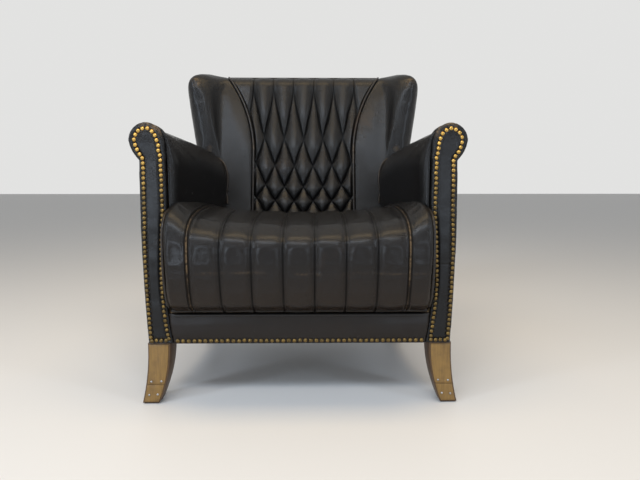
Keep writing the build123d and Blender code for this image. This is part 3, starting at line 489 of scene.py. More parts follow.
class Graph:
    """Small helper that adds and links the nodes of one material."""

    def __init__(self, name: str) -> None:
        """Start a material with only its surface shader and output.

        Args:
            name: Name of the material.
        """
        self.material = bpy.data.materials.new(name)
        self.material.use_nodes = True
        self.nodes = self.material.node_tree.nodes
        self.links = self.material.node_tree.links
        self.nodes.clear()
        self.shader = self.nodes.new("ShaderNodeBsdfPrincipled")
        output = self.nodes.new("ShaderNodeOutputMaterial")
        self.links.new(self.shader.outputs[0], output.inputs["Surface"])
        self.place = self.nodes.new("ShaderNodeTexCoord").outputs["Object"]

    def link(self, source: bpy.types.NodeSocket, target: bpy.types.NodeSocket) -> None:
        """Link two sockets."""
        self.links.new(source, target)

    def noise(
        self, scale: float, detail: float = 3, roughness: float = 0.5, distortion: float = 0
    ) -> bpy.types.NodeSocket:
        """Add a noise pattern on the piece's own coordinates and return its value.

        Args:
            scale: How fine the pattern is.
            detail: How many finer layers it has.
            roughness: How strong the finer layers are.
            distortion: How far the pattern is warped.

        Returns:
            The socket with the pattern, from 0 to 1.
        """
        node = self.nodes.new("ShaderNodeTexNoise")
        node.inputs["Scale"].default_value = scale
        node.inputs["Detail"].default_value = detail
        node.inputs["Roughness"].default_value = roughness
        node.inputs["Distortion"].default_value = distortion
        self.link(self.place, node.inputs["Vector"])
        return node.outputs["Fac"]

    def cells(self, scale: float, edges: bool = True) -> bpy.types.NodeSocket:
        """Add a cell pattern and return the distance to its edges or middles.

        Args:
            scale: How fine the cells are.
            edges: Whether the distance runs to the cells' edges, not their middles.

        Returns:
            The socket with the distance.
        """
        node = self.nodes.new("ShaderNodeTexVoronoi")
        node.feature = "DISTANCE_TO_EDGE" if edges else "F1"
        node.inputs["Scale"].default_value = scale
        self.link(self.place, node.inputs["Vector"])
        return node.outputs["Distance"]

    def ramp(self, value: bpy.types.NodeSocket, low: float, high: float) -> bpy.types.NodeSocket:
        """Ease a value from 0 at low to 1 at high.

        Args:
            value: Socket of the value.
            low: The value that gives 0.
            high: The value that gives 1.

        Returns:
            The socket with the eased value.
        """
        node = self.nodes.new("ShaderNodeMapRange")
        node.interpolation_type = "SMOOTHSTEP"
        node.inputs["From Min"].default_value = low
        node.inputs["From Max"].default_value = high
        self.link(value, node.inputs["Value"])
        return node.outputs["Result"]

    def spread(self, value: bpy.types.NodeSocket, low: float, high: float) -> bpy.types.NodeSocket:
        """Map a value from 0-1 to a range.

        Args:
            value: Socket of the value.
            low: Result for 0.
            high: Result for 1.

        Returns:
            The socket with the result.
        """
        node = self.nodes.new("ShaderNodeMapRange")
        node.inputs["To Min"].default_value = low
        node.inputs["To Max"].default_value = high
        self.link(value, node.inputs["Value"])
        return node.outputs["Result"]

    def combine(
        self, operation: str, first: bpy.types.NodeSocket, second: bpy.types.NodeSocket | float
    ) -> bpy.types.NodeSocket:
        """Combine two values by a math operation.

        Args:
            operation: Name of the math operation.
            first: Socket of the first value.
            second: Socket of the second value, or a number.

        Returns:
            The socket with the result.
        """
        node = self.nodes.new("ShaderNodeMath")
        node.operation = operation
        self.link(first, node.inputs[0])
        if isinstance(second, (int, float)):
            node.inputs[1].default_value = second
        else:
            self.link(second, node.inputs[1])
        return node.outputs[0]

    def mix(
        self,
        share: bpy.types.NodeSocket,
        first: bpy.types.NodeSocket | Sequence[float],
        second: bpy.types.NodeSocket | Sequence[float],
    ) -> bpy.types.NodeSocket:
        """Mix two colours by a share.

        Args:
            share: Socket of the second colour's share.
            first: The first colour, or its socket.
            second: The second colour, or its socket.

        Returns:
            The socket with the mixed colour.
        """
        node = self.nodes.new("ShaderNodeMix")
        node.data_type = "RGBA"
        self.link(share, node.inputs["Factor"])
        for source, target in ((first, node.inputs[6]), (second, node.inputs[7])):
            if isinstance(source, bpy.types.NodeSocket):
                self.link(source, target)
            else:
                target.default_value = (*source, 1)
        return node.outputs[2]

    def attribute(self, name: str) -> bpy.types.NodeSocket:
        """Read a number that the piece stores per vertex.

        Args:
            name: Name of the attribute.

        Returns:
            The socket with the number.
        """
        node = self.nodes.new("ShaderNodeAttribute")
        node.attribute_name = name
        return node.outputs["Fac"]

    def height(self) -> bpy.types.NodeSocket:
        """Height over the floor.

        Returns:
            The socket with the height, in metres.
        """
        node = self.nodes.new("ShaderNodeSeparateXYZ")
        self.link(self.place, node.inputs[0])
        return node.outputs["Z"]

    def bump(self, layers: Sequence[tuple[bpy.types.NodeSocket, float]]) -> None:
        """Stack bump layers, each a pattern and its depth in metres.

        Args:
            layers: For each layer its pattern's socket and its depth in metres.
        """
        normal = None
        for pattern, depth in layers:
            node = self.nodes.new("ShaderNodeBump")
            node.inputs["Strength"].default_value = 1
            node.inputs["Distance"].default_value = depth
            self.link(pattern, node.inputs["Height"])
            if normal is not None:
                self.link(normal, node.inputs["Normal"])
            normal = node.outputs["Normal"]
        self.link(normal, self.shader.inputs["Normal"])


@dataclass(frozen=True)
class LeatherFinish:
    """Aged leather: mottled colour, worn patches, pebbled grain and fine creases, with painted shade in its
    grooves and a painted brown reflection where a piece asks for it.
    """

    name: str
    dark: tuple[float, float, float]
    brown: tuple[float, float, float]
    worn: tuple[float, float, float]
    brown_share: float = 0.5
    painted_groove_shade: tuple[float, float, float] = (0.0012, 0.001, 0.0009)
    roughness: tuple[float, float] = (0.15, 0.33)
    shine: float = 0.19
    grain_scale: float = 520.0
    grain_depth: float = 0.00013
    crease_scale: float = 38.0
    crease_depth: float = 0.0004
    coat: float = 0.08
    coat_roughness: float = 0.22
    worn_roughness: float = 0.16
    groove_roughness: float = 0.2

    def build(self) -> bpy.types.Material:
        """Build the material.

        Returns:
            The material.
        """
        graph = Graph(self.name)
        shift = 0.3 * self.brown_share
        mottle = graph.ramp(graph.noise(9, 4, 0.6), 0.62 - shift, 0.9 - shift)
        colour = graph.mix(mottle, self.dark, self.brown)
        # Painted reflection: a per-vertex share, varied by noise, mixes in the brown as a painted brown
        # reflection.
        painted_brown_reflection = graph.attribute("painted_brown_reflection")
        painted_brown_reflection = graph.combine("MULTIPLY", painted_brown_reflection, graph.spread(graph.noise(30, 3), 0.7, 1.2))
        colour = graph.mix(painted_brown_reflection, colour, self.brown)
        scuff = graph.ramp(graph.noise(130, 6, 0.7), 0.36, 0.62)
        patchy = graph.ramp(graph.noise(24, 4, 0.6), 0.3, 0.62)
        wear = graph.attribute("wear")
        wear = graph.combine("MULTIPLY", wear, graph.combine("MULTIPLY", scuff, patchy))
        colour = graph.mix(wear, colour, self.worn)
        # Painted shade: the groove attribute darkens the colour and the specular tint along seams and
        # grooves.
        groove = graph.attribute("groove")
        graph.link(graph.mix(groove, colour, self.painted_groove_shade), graph.shader.inputs["Base Color"])
        rough = graph.spread(graph.noise(46, 5, 0.65), *self.roughness)
        rough = graph.combine("ADD", rough, graph.combine("MULTIPLY", wear, self.worn_roughness))
        rough = graph.combine("ADD", rough, graph.combine("MULTIPLY", groove, self.groove_roughness))
        graph.link(graph.mix(groove, (1, 1, 1), self.painted_groove_shade), graph.shader.inputs["Specular Tint"])
        graph.link(rough, graph.shader.inputs["Roughness"])
        graph.shader.inputs["Specular IOR Level"].default_value = self.shine
        graph.shader.inputs["Coat Weight"].default_value = self.coat
        graph.shader.inputs["Coat Roughness"].default_value = self.coat_roughness
        grain = graph.ramp(graph.cells(self.grain_scale), 0.0, 0.16)
        pores = graph.noise(self.grain_scale * 2.3, 2, 0.6)
        crease = graph.noise(self.crease_scale, 5, 0.62, 0.8)
        graph.bump(
            (
                (crease, self.crease_depth),
                (grain, self.grain_depth),
                (pores, self.grain_depth * 0.6),
            )
        )
        return graph.material


@dataclass(frozen=True)
class BrassFinish:
    """Brass heads: warm and bright high up, browner lower down, and tarnished in random patches."""

    name: str
    bright: tuple[float, float, float] = (0.5, 0.31, 0.08)
    aged: tuple[float, float, float] = (0.1, 0.07, 0.03)
    bright_z: float = 0.61
    browner_z: float = 0.46
    low_share: float = 0.78
    patch_share: float = 0.3

    def build(self) -> bpy.types.Material:
        """Build the material.

        Returns:
            The material.
        """
        graph = Graph(self.name)
        # Darker and browner towards the bottom, by height, plus random patches.
        low = graph.ramp(graph.height(), self.bright_z, self.browner_z)
        patch = graph.ramp(graph.noise(160, 3), 0.35, 0.7)
        low = graph.combine("MULTIPLY", low, self.low_share)
        patch = graph.combine("MULTIPLY", patch, self.patch_share)
        share = graph.combine("ADD", low, patch)
        share.node.use_clamp = True
        graph.link(graph.mix(share, self.bright, self.aged), graph.shader.inputs["Base Color"])
        graph.shader.inputs["Metallic"].default_value = 1
        graph.link(graph.spread(graph.noise(300, 3), 0.22, 0.44), graph.shader.inputs["Roughness"])
        graph.bump(((graph.noise(900, 3), 0.0001),))
        return graph.material


@dataclass(frozen=True)
class WoodFinish:
    """Wood with grain along the height, darkened in patches."""

    name: str
    light: tuple[float, float, float]
    dark: tuple[float, float, float]
    roughness: tuple[float, float] = (0.32, 0.55)
    stretch: tuple[float, float, float] = (1.0, 1.0, 0.07)
    grain_scale: float = 220.0
    patch_share: float = 0.5

    def build(self) -> bpy.types.Material:
        """Build the material.

        Returns:
            The material.
        """
        graph = Graph(self.name)
        mapping = graph.nodes.new("ShaderNodeMapping")
        mapping.inputs["Scale"].default_value = self.stretch
        graph.link(graph.place, mapping.inputs["Vector"])
        plain = graph.place
        graph.place = mapping.outputs["Vector"]
        fibre = graph.noise(self.grain_scale, 5, 0.62, 0.4)
        streak = graph.noise(self.grain_scale * 0.28, 3, 0.5, 1.2)
        graph.place = plain
        patch = graph.ramp(graph.noise(28, 4, 0.6), 0.62 - 0.3 * self.patch_share, 0.8)
        lines = graph.combine("MULTIPLY", graph.ramp(fibre, 0.35, 0.7), 0.4)
        share = graph.combine("ADD", lines, graph.combine("MULTIPLY", patch, 0.6))
        share.node.use_clamp = True
        colour = graph.mix(share, self.light, self.dark)
        colour = graph.mix(graph.combine("MULTIPLY", graph.ramp(streak, 0.5, 0.75), 0.4), colour, self.dark)
        graph.link(colour, graph.shader.inputs["Base Color"])
        graph.link(graph.spread(graph.noise(60, 4), *self.roughness), graph.shader.inputs["Roughness"])
        graph.bump(((fibre, 0.0002), (graph.noise(90, 4), 0.0004)))
        return graph.material


@dataclass(frozen=True)
class ClothFinish:
    """Woven lining or felted stuffing."""

    name: str
    light: tuple[float, float, float]
    dark: tuple[float, float, float]
    thread_scale: float = 900.0

    def build(self) -> bpy.types.Material:
        """Build the material.

        Returns:
            The material.
        """
        graph = Graph(self.name)
        weave = graph.cells(self.thread_scale, edges=False)
        colour = graph.mix(graph.ramp(weave, 0.2, 0.7), self.light, self.dark)
        colour = graph.mix(graph.ramp(graph.noise(12, 4), 0.45, 0.8), colour, self.dark)
        graph.link(colour, graph.shader.inputs["Base Color"])
        graph.shader.inputs["Roughness"].default_value = 0.9
        graph.bump(((weave, 0.0003),))
        return graph.material


@dataclass(frozen=True)
class SteelFinish:
    """Plain finish with slight stains: dull metal, or thread and plastic where metallic is 0."""

    name: str
    colour: tuple[float, float, float]
    stain: tuple[float, float, float]
    metallic: float = 1.0

    def build(self) -> bpy.types.Material:
        """Build the material.

        Returns:
            The material.
        """
        graph = Graph(self.name)
        patch = graph.ramp(graph.noise(80, 4), 0.4, 0.7)
        graph.link(graph.mix(patch, self.colour, self.stain), graph.shader.inputs["Base Color"])
        graph.shader.inputs["Metallic"].default_value = self.metallic
        graph.link(graph.spread(graph.noise(200, 3), 0.35, 0.6), graph.shader.inputs["Roughness"])
        graph.bump(((graph.noise(400, 3), 0.0001),))
        return graph.material


@dataclass
class Finishes:
    """Every finish of the chair, built once."""

    leather: bpy.types.Material = field(init=False)
    piping: bpy.types.Material = field(init=False)
    brass: bpy.types.Material = field(init=False)
    leg_wood: bpy.types.Material = field(init=False)
    leg_side: bpy.types.Material = field(init=False)
    frame_wood: bpy.types.Material = field(init=False)
    lining: bpy.types.Material = field(init=False)
    stuffing: bpy.types.Material = field(init=False)
    steel: bpy.types.Material = field(init=False)
    glide: bpy.types.Material = field(init=False)
    thread: bpy.types.Material = field(init=False)

    def __post_init__(self) -> None:
        """Build each material."""
        black = (0.0062, 0.0058, 0.0058)
        brown = (0.022, 0.013, 0.0075)
        tan = (0.25, 0.16, 0.078)
        self.leather = LeatherFinish("black_leather", black, brown, tan, 0.08).build()
        faded = (0.016, 0.014, 0.013)
        self.piping = LeatherFinish(
            "piping_leather", faded, brown, tan, 0.5, grain_depth=0.0001, crease_depth=0.0003
        ).build()
        self.brass = BrassFinish("aged_brass").build()
        self.leg_wood = WoodFinish("leg_front_patina", (0.235, 0.13, 0.03), (0.095, 0.048, 0.012)).build()
        self.leg_side = WoodFinish("leg_wood", (0.09, 0.043, 0.012), (0.03, 0.014, 0.005)).build()
        beech, beech_grain = (0.5, 0.34, 0.19), (0.33, 0.2, 0.1)
        self.frame_wood = WoodFinish("frame_beech", beech, beech_grain, (0.6, 0.75)).build()
        self.lining = ClothFinish("lining_cloth", (0.035, 0.03, 0.027), (0.015, 0.013, 0.012)).build()
        self.stuffing = ClothFinish("stuffing_felt", (0.05, 0.045, 0.04), (0.02, 0.018, 0.016), 300).build()
        self.steel = SteelFinish("dull_steel", (0.42, 0.42, 0.43), (0.2, 0.17, 0.14)).build()
        self.glide = SteelFinish("glide_dark", (0.02, 0.018, 0.016), (0.04, 0.03, 0.02), 0).build()
        self.thread = SteelFinish("seam_thread", (0.02, 0.016, 0.012), (0.07, 0.045, 0.02), 0).build()


@dataclass
class Back:
    """The raked back: sewn diamonds, smooth wings, pipings and the outer back."""

    finishes: Finishes
    lean: float = math.radians(14.7)
    face_y: float = 0.1382
    face_z: float = 0.443
    low_z: float = 0.402
    top_z: float = 0.85
    front_roll: float = 0.046
    rear_roll: float = 0.03
    rear_y: float = 0.351
    rear_lean: float = math.radians(10)
    rear_cover: float = 0.006
    rear_turn: float = 1.5
    flat_length: float = 0.03
    barrel_radius: float = 1.14
    seam_low_half: float = 0.157
    seam_top_half: float = 0.244
    seam_bend_z: float = 0.6
    seam_tuck: float = 0.002
    crown: float = 0.0145
    edge_crown: float = 0.009
    groove_depth: float = 0.015
    row_heights: tuple[float, ...] = (0.826, 0.647, 0.563, 0.498, 0.453, 0.412, 0.372)
    row_pitches: tuple[float, ...] = (0.065, 0.062, 0.060, 0.060, 0.059, 0.0585, 0.058)
    row_rise: float = 0.012
    row_waver: float = 0.0012
    column_waver: float = 0.0011
    pillow_gain: float = 1.12
    pillow_spread: float = 0.07
    seam_fade: float = 0.012
    groove_slant: float = 0.88
    groove_half: float = 0.0023
    pleat_half: float = 2.5
    spacing: float = 0.0018
    piping_radius: float = 0.0032
    wing_net: float = 0.005
    wing_swell: float = 0.0035

    def seam_x(self, z: np.ndarray) -> np.ndarray:
        """Half width of the sewn panel at each height.

        Args:
            z: Heights.

        Returns:
            One half width per height.
        """
        reach = self.seam_top_half - self.seam_low_half
        climb = self.top_z - self.seam_bend_z
        bend = (reach**2 + climb**2) / (2 * reach)
        rise = np.clip(z - self.seam_bend_z, 0, climb)
        return self.seam_low_half + bend - np.sqrt(bend**2 - rise**2)

    def path(self, x: np.ndarray, along: np.ndarray) -> tuple[np.ndarray, np.ndarray]:
        """Follow the skin up the face, over the top and down to the outer back.

        Args:
            x: Distance from the middle of the chair.
            along: Distance along the skin at the middle, from its low end.

        Returns:
            Places in the YZ plane and outward normals, one row each.
        """
        sine, cosine = math.sin(self.lean), math.cos(self.lean)
        roll_z = self.top_z - self.front_roll
        start_z = roll_z + self.front_roll * sine
        start_y = self.face_y + (start_z - self.face_z) * math.tan(self.lean)
        middle = np.array((start_y + self.front_roll * cosine, roll_z))
        face_length = (start_z - self.low_z) / cosine
        turn = math.pi / 2 - self.lean
        roll_length = turn * self.front_roll
        sag = self.barrel_radius - np.sqrt(self.barrel_radius**2 - x**2)
        rear = self.rear_y - self.rear_cover - sag / math.cos(self.rear_lean) - self.rear_roll
        flat_share = np.clip((along - face_length - roll_length) / self.flat_length, 0, 1)
        flat_y = middle[0] + flat_share * (rear - middle[0])
        angle = np.clip((along - face_length) / self.front_roll, 0, turn) + self.lean
        places = np.stack((flat_y, np.full_like(x, self.top_z)), 1)
        normals = np.stack((np.zeros_like(x), np.ones_like(x)), 1)
        rolled = along < face_length + roll_length
        outward = np.stack((-np.cos(angle), np.sin(angle)), 1)
        places[rolled] = (middle + self.front_roll * outward)[rolled]
        normals[rolled] = outward[rolled]
        straight = along < face_length
        low_y = self.face_y + (self.low_z - self.face_z) * math.tan(self.lean)
        climb = np.stack((low_y + along * sine, self.low_z + along * cosine), 1)
        places[straight] = climb[straight]
        behind = along > face_length + roll_length + self.flat_length
        fall = (along - face_length - roll_length - self.flat_length) / self.rear_roll
        down = np.stack((np.sin(fall), np.cos(fall)), 1)
        centre = np.stack((rear, np.full_like(x, self.top_z - self.rear_roll)), 1)
        places[behind] = (centre + self.rear_roll * down)[behind]
        normals[behind] = down[behind]
        return places, normals

    @property
    def length(self) -> float:
        """Length of the skin along its middle.

        Returns:
            The length.
        """
        start_z = self.top_z - self.front_roll * (1 - math.sin(self.lean))
        face = (start_z - self.low_z) / math.cos(self.lean)
        roll = (math.pi / 2 - self.lean) * self.front_roll
        return face + roll + self.flat_length + self.rear_turn * self.rear_roll

    def row_number(self, z: np.ndarray) -> np.ndarray:
        """Row coordinate of a height: whole at each row, level above the first.

        Args:
            z: Heights.

        Returns:
            One row coordinate per height.
        """
        heights = np.array(self.row_heights)
        rows = np.arange(len(heights), dtype=float)
        gaps = np.diff(heights)
        slopes = np.diff(rows) / gaps
        tangents = np.zeros_like(heights)
        tangents[1:-1] = 2 * slopes[1:] * slopes[:-1] / (slopes[1:] + slopes[:-1])
        tangents[-1] = slopes[-1]
        index = np.clip(np.searchsorted(-heights, -z) - 1, 0, len(gaps) - 1)
        share = np.clip((z - heights[index]) / gaps[index], 0, 1.5)
        gap = gaps[index]
        result = (
            rows[index] * (2 * share**3 - 3 * share**2 + 1)
            + gap * tangents[index] * (share**3 - 2 * share**2 + share)
            + rows[index + 1] * (-2 * share**3 + 3 * share**2)
            + gap * tangents[index + 1] * (share**3 - share**2)
        )
        return np.where(z >= heights[0], 0, result)

    def pillow(self, x: np.ndarray, z: np.ndarray) -> tuple[np.ndarray, np.ndarray]:
        """Height of the sewn leather over its grooves, and how near each place is to a groove.

        Args:
            x: Distances from the middle of the chair.
            z: Heights.

        Returns:
            The heights over the grooves, and from 0 to 1 how near a groove is.
        """
        lift = self.row_rise * (x / self.seam_low_half) ** 2 * smooth_step(0.8, 0.72, z)
        flat = np.stack((x, z), 1)
        row = self.row_number(z - lift + self.row_waver * ripple(flat, 0.16, 3))
        pitch = np.interp(-z, -np.array(self.row_heights), self.row_pitches)
        column = (x + self.column_waver * ripple(flat, 0.13, 4)) / pitch
        first = column + row / 2 + 0.5
        second = column - row / 2 + 0.5
        low_first = first - np.floor(first)
        low_second = 1 - (second - np.floor(second))
        shares = (low_first, low_second)
        humps = [(1 - (1 - share) ** 3.2) * np.sqrt(np.maximum(1 - share**5, 0)) for share in shares]
        height = self.crown * self.pillow_gain * humps[0] * humps[1]
        cell = np.floor(first) * 7.3 + np.floor(second) * 3.1
        height *= 1 + self.pillow_spread * np.sin(cell * 12.9)
        seam_gap = np.maximum(self.seam_x(z) - np.abs(x), 0)
        height *= 0.25 + 0.75 * smooth_step(0, self.seam_fade, seam_gap)
        nearest = [np.minimum(share, 1 - share) * pitch * self.groove_slant for share in shares]
        groove = np.exp(-((np.minimum(*nearest) / self.groove_half) ** 2))
        outside = np.abs(column) - self.pleat_half - row / 2
        strip = (outside > 0) & (row < 1.5)
        rise = np.clip(outside * pitch / self.seam_fade, 0, 1) ** 0.6 * smooth_step(-0.001, 0.008, seam_gap)
        height[strip] = (self.edge_crown * rise)[strip]
        groove[strip] *= smooth_step(0.05, 0.02, outside[strip])
        return height, groove

    def tufted_panel(self) -> None:
        """Make the sewn skin, from the seat up over the top of the back."""
        columns = round(2 * self.seam_top_half / self.spacing)
        rows = round(self.length / self.spacing)
        piece, across, along = sheet("tufted_leather", columns, rows)
        distance = along * self.length
        places, normals = self.path(np.zeros_like(across), distance)
        half = self.seam_x(places[:, 1]) + self.seam_tuck
        x = (across * 2 - 1) * half
        places, normals = self.path(x, distance)
        face_end = (self.top_z - self.front_roll - self.low_z) / math.cos(self.lean)
        fade = 1 - smooth_step(face_end + 0.03, self.length - 0.05, distance)
        height, groove = self.pillow(x, places[:, 1])
        height = (height - self.groove_depth) * fade
        # Painted shade: marks the diamond grooves, where the leather paints shade.
        set_float(piece, "groove", 0.95 * groove * fade)
        level = smooth_step(face_end - 0.02, face_end + 0.05, distance)
        height = height * (1 - 0.55 * level) - 0.002 * level * fade
        places = places + normals * height[:, None]
        move_points(piece, np.column_stack((x, places)))
        close_behind(piece, (0, 0.012, -0.006))
        shade(piece, math.radians(80))
        dress(piece, self.finishes.leather, ["tufted_back_panel"])

    def piping(self, side: Side) -> None:
        """Run the piping up the wing seam and over the top.

        Args:
            side: The side to make.
        """
        distance = np.linspace(0.02, self.length - 0.03, 160)
        centre, _ = self.path(np.zeros_like(distance), distance)
        x = self.seam_x(centre[:, 1])
        places, normals = self.path(x, distance)
        places = places - normals * 0.001
        line = np.column_stack((x * side.value, places))
        piece = tube(f"{side.word}_wing_welt", line, self.piping_radius)
        points = points_of(piece)
        set_float(piece, "wear", 0.03 + 0.2 * smooth_step(0.7, 1, ripple(points, 0.12, 8)))
        dress(piece, self.finishes.piping, [f"{side.word}_wing_piping"])

    def wing(self, side: Side) -> bpy.types.Object:
        """Make one smooth wing, swollen over its stuffing.

        Args:
            side: The side to make.

        Returns:
            The finished wing.
        """
        node = f"{side.word}_back_wing"
        piece = node_copy(node, f"{side.word}_wing_leather")
        remesh(piece, self.wing_net)
        soften(piece, 22)
        points = points_of(piece)
        seam = np.abs(points[:, 0]) - self.seam_x(points[:, 2])
        low = smooth_step(0.47, 0.43, points[:, 2])
        held = np.maximum(smooth_step(0.014, 0.004, seam), low)
        Padding(cap=0.005, pressure=5).swell(piece, held)
        soften(piece, 10)
        subdivide(piece)
        corner = smooth_step(0.26, 0.31, np.abs(points_of(piece)[:, 0]))
        move_points(piece, points_of(piece) + normals_of(piece) * (self.wing_swell * corner)[:, None])
        points = points_of(piece)
        spots = (
            ((0.333, 0.18, 0.816), 0.012, 0.8),
            ((0.285, 0.15, 0.612), 0.012, 0.5),
        )
        set_float(piece, "wear", worn_spots(points, spots, side))
        shade(piece, math.radians(70))
        dress(piece, self.finishes.leather, [node])
        return piece

    def outer_back(self) -> None:
        """Make the plain leather over the outside of the back."""
        piece = node_copy("outer_back_panel", "outer_back_leather")
        bevel(piece, 0.0025, 3)
        shade(piece)
        dress(piece, self.finishes.leather, ["outer_back_panel"])

    def build(self) -> dict[Side, bpy.types.Object]:
        """Make every piece of the back and return the wings.

        Returns:
            The wing of each side.
        """
        self.tufted_panel()
        self.outer_back()
        wings = {}
        for side in Side:
            wings[side] = self.wing(side)
            self.piping(side)
        return wings


def worn_spots(
    points: np.ndarray, spots: Sequence[tuple[tuple[float, float, float], float, float]], side: Side
) -> np.ndarray:
    """Wear per vertex round given spots of the right-hand piece.

    Args:
        points: Vertex places, one row each.
        spots: For each spot its place, its radius and its strength.
        side: The side that the piece is on.

    Returns:
        Wear from 0 to 1 for each vertex.
    """
    wear = np.zeros(len(points))
    for place, radius, strength in spots:
        centre = np.array(place) * (side.value, 1, 1)
        distance = np.linalg.norm(points - centre, axis=1)
        wear = np.maximum(wear, strength * smooth_step(radius * 1.6, radius * 0.4, distance))
    return wear


@dataclass
class Seat:
    """The sprung seat: rolled flutes over the front, side and foot welts and stitched seams."""

    finishes: Finishes
    line: tuple[tuple[float, float], ...] = (
        (0.16, 0.414),
        (0.05, 0.43),
        (-0.05, 0.4405),
        (-0.12, 0.445),
        (-0.17, 0.4445),
        (-0.21, 0.4418),
        (-0.243, 0.4378),
        (-0.27, 0.4333),
        (-0.293, 0.428),
        (-0.31, 0.4215),
        (-0.324, 0.414),
        (-0.335, 0.4055),
        (-0.342, 0.396),
        (-0.347, 0.38),
        (-0.348, 0.361),
        (-0.348, 0.34),
        (-0.345, 0.31),
        (-0.339, 0.28),
        (-0.332, 0.257),
        (-0.322, 0.241),
        (-0.311, 0.2305),
    )
    crown: float = 0.009
    dip: float = 0.0155
    edge_lift: float = 0.031
    lift_start: float = 0.013
    lift_end: float = 0.285
    rear_ease: float = 0.45
    flute_count: int = 7
    flute_pitch: float = 0.0678
    front_half: float = 0.2885
    front_half_limit: float = 0.2915
    plan_y: float = -0.281
    plan_slope: float = 0.1366
    edge_radius: float = 0.016
    skirt: float = 0.05
    spacing: float = 0.0034
    seam_shares: tuple[float, ...] = (0.0, 0.02, 0.04, 0.06, 0.085, 0.12, 0.18, 0.25, 0.33, 0.41, 0.5)
    double_half: float = 0.0038
    fold_z: float = 0.321
    rubbed_z: float = 0.36
    foot_half: float = 0.288
    foot_y: float = -0.2985
    foot_z: float = 0.2265
    foot_radius: float = 0.0042
    welt_radius: float = 0.0034
    close_count: int = 7
    skirt_count: int = 24
    ridge: float = 0.0022
    double_depth: float = 0.002
    seam_depth: float = 0.004
    fold_depth: float = 0.0005
    smooth: np.ndarray = field(init=False)
    marks: np.ndarray = field(init=False)
    length: float = field(init=False)

    def __post_init__(self) -> None:
        """Round off the side outline of the seat and measure it."""
        smooth = resample(np.array(self.line), 0.002, closed=False)
        for _ in range(14):
            smooth[1:-1] = (smooth[:-2] + 2 * smooth[1:-1] + smooth[2:]) / 4
        self.smooth = smooth
        self.marks = np.concatenate(([0], np.cumsum(np.linalg.norm(np.diff(smooth, axis=0), axis=1))))
        self.length = self.marks[-1]

    @property
    def outer(self) -> float:
        """Distance from the middle of the seat to its outer double seams."""
        return self.flute_count * self.flute_pitch / 2

    def path(self, along: np.ndarray) -> tuple[np.ndarray, np.ndarray]:
        """Follow the seat from under the back, over the nose, down to the apron.

        Args:
            along: Distance from the rear end.

        Returns:
            Places in the YZ plane and outward normals, one row each.
        """
        slopes = np.gradient(self.smooth, self.marks, axis=0)
        slopes /= np.linalg.norm(slopes, axis=1)[:, None]
        places = np.column_stack([np.interp(along, self.marks, self.smooth[:, axis]) for axis in (0, 1)])
        ahead = np.column_stack([np.interp(along, self.marks, slopes[:, axis]) for axis in (0, 1)])
        return places, np.column_stack((ahead[:, 1], -ahead[:, 0]))

    def saddle(self, x: np.ndarray, places: np.ndarray) -> np.ndarray:
        """How far the seat rises at its sides and sinks in its middle, at each place.

        Args:
            x: Distances from the middle of the chair.
            places: Places of the side outline there, in the YZ plane.

        Returns:
            The rise at each place.
        """
        outer = self.outer
        top = smooth_step(0.36, 0.425, places[:, 1])
        ease = 1 - self.rear_ease * smooth_step(-0.28, -0.12, places[:, 0])
        side = smooth_step(outer - self.lift_start, self.lift_end, np.abs(x)) * ease
        middle = 1 - np.clip(np.abs(x) / outer, 0, 1) ** 2
        return top * (self.edge_lift * side - self.dip * middle)

    def half(self, y: np.ndarray) -> np.ndarray:
        """Half width of the seat at each depth."""
        return np.minimum(self.front_half - (y - self.plan_y) * self.plan_slope, self.front_half_limit)

    def flutes(self, x: np.ndarray, half: np.ndarray) -> np.ndarray:
        """Height of the flutes over the seat's side outline, across the seat.

        Args:
            x: Distances from the middle of the chair.
            half: Half width of the seat there.

        Returns:
            The height at each place.
        """
        outer = self.outer
        place = (x + outer) / self.flute_pitch
        share = place - np.floor(place)
        height = self.crown * (1 - np.abs(2 * share - 1) ** 3) ** 0.8
        band = np.clip((np.abs(x) - outer) / np.maximum(half - outer, 0.004), 0, 1)
        band_height = self.crown * (1 - np.abs(2 * band - 1) ** 5) ** 0.7 * (1 - 0.3 * band)
        near = self.crown * 0.66 * smooth_step(0.014, 0.009, np.abs(np.abs(x) - outer))
        height, band_height = np.maximum(height, near), np.maximum(band_height, near)
        return np.where(np.abs(x) <= outer, height, band_height)

    def columns(self, steps: np.ndarray) -> np.ndarray:
        """Turn even steps from 0 to 1 into places across, closer together at the seams.

        Args:
            steps: Even steps from 0 to 1.

        Returns:
            Places across the seat, from one skirt to the other.
        """
        shares = list(self.seam_shares) + [1 - share for share in self.seam_shares[-2:0:-1]]
        outer = self.outer
        flutes = range(self.flute_count)
        marks = [(flute + share) * self.flute_pitch - outer for flute in flutes for share in shares]
        edge = self.front_half - self.edge_radius + self.edge_radius * math.pi / 2 + self.skirt
        close = np.array(self.seam_shares[: self.close_count]) * self.flute_pitch
        beyond = outer + np.concatenate((close, np.linspace(close[-1], edge - outer, self.skirt_count)[1:]))
        full = np.concatenate((-beyond[::-1], marks[1:], beyond))
        return np.interp(steps, np.linspace(0, 1, len(full)), full)

    def column_count(self) -> int:
        """How many quads the net has across."""
        beyond = self.close_count + self.skirt_count - 1
        return self.flute_count * (2 * len(self.seam_shares) - 2) - 1 + 2 * beyond - 1

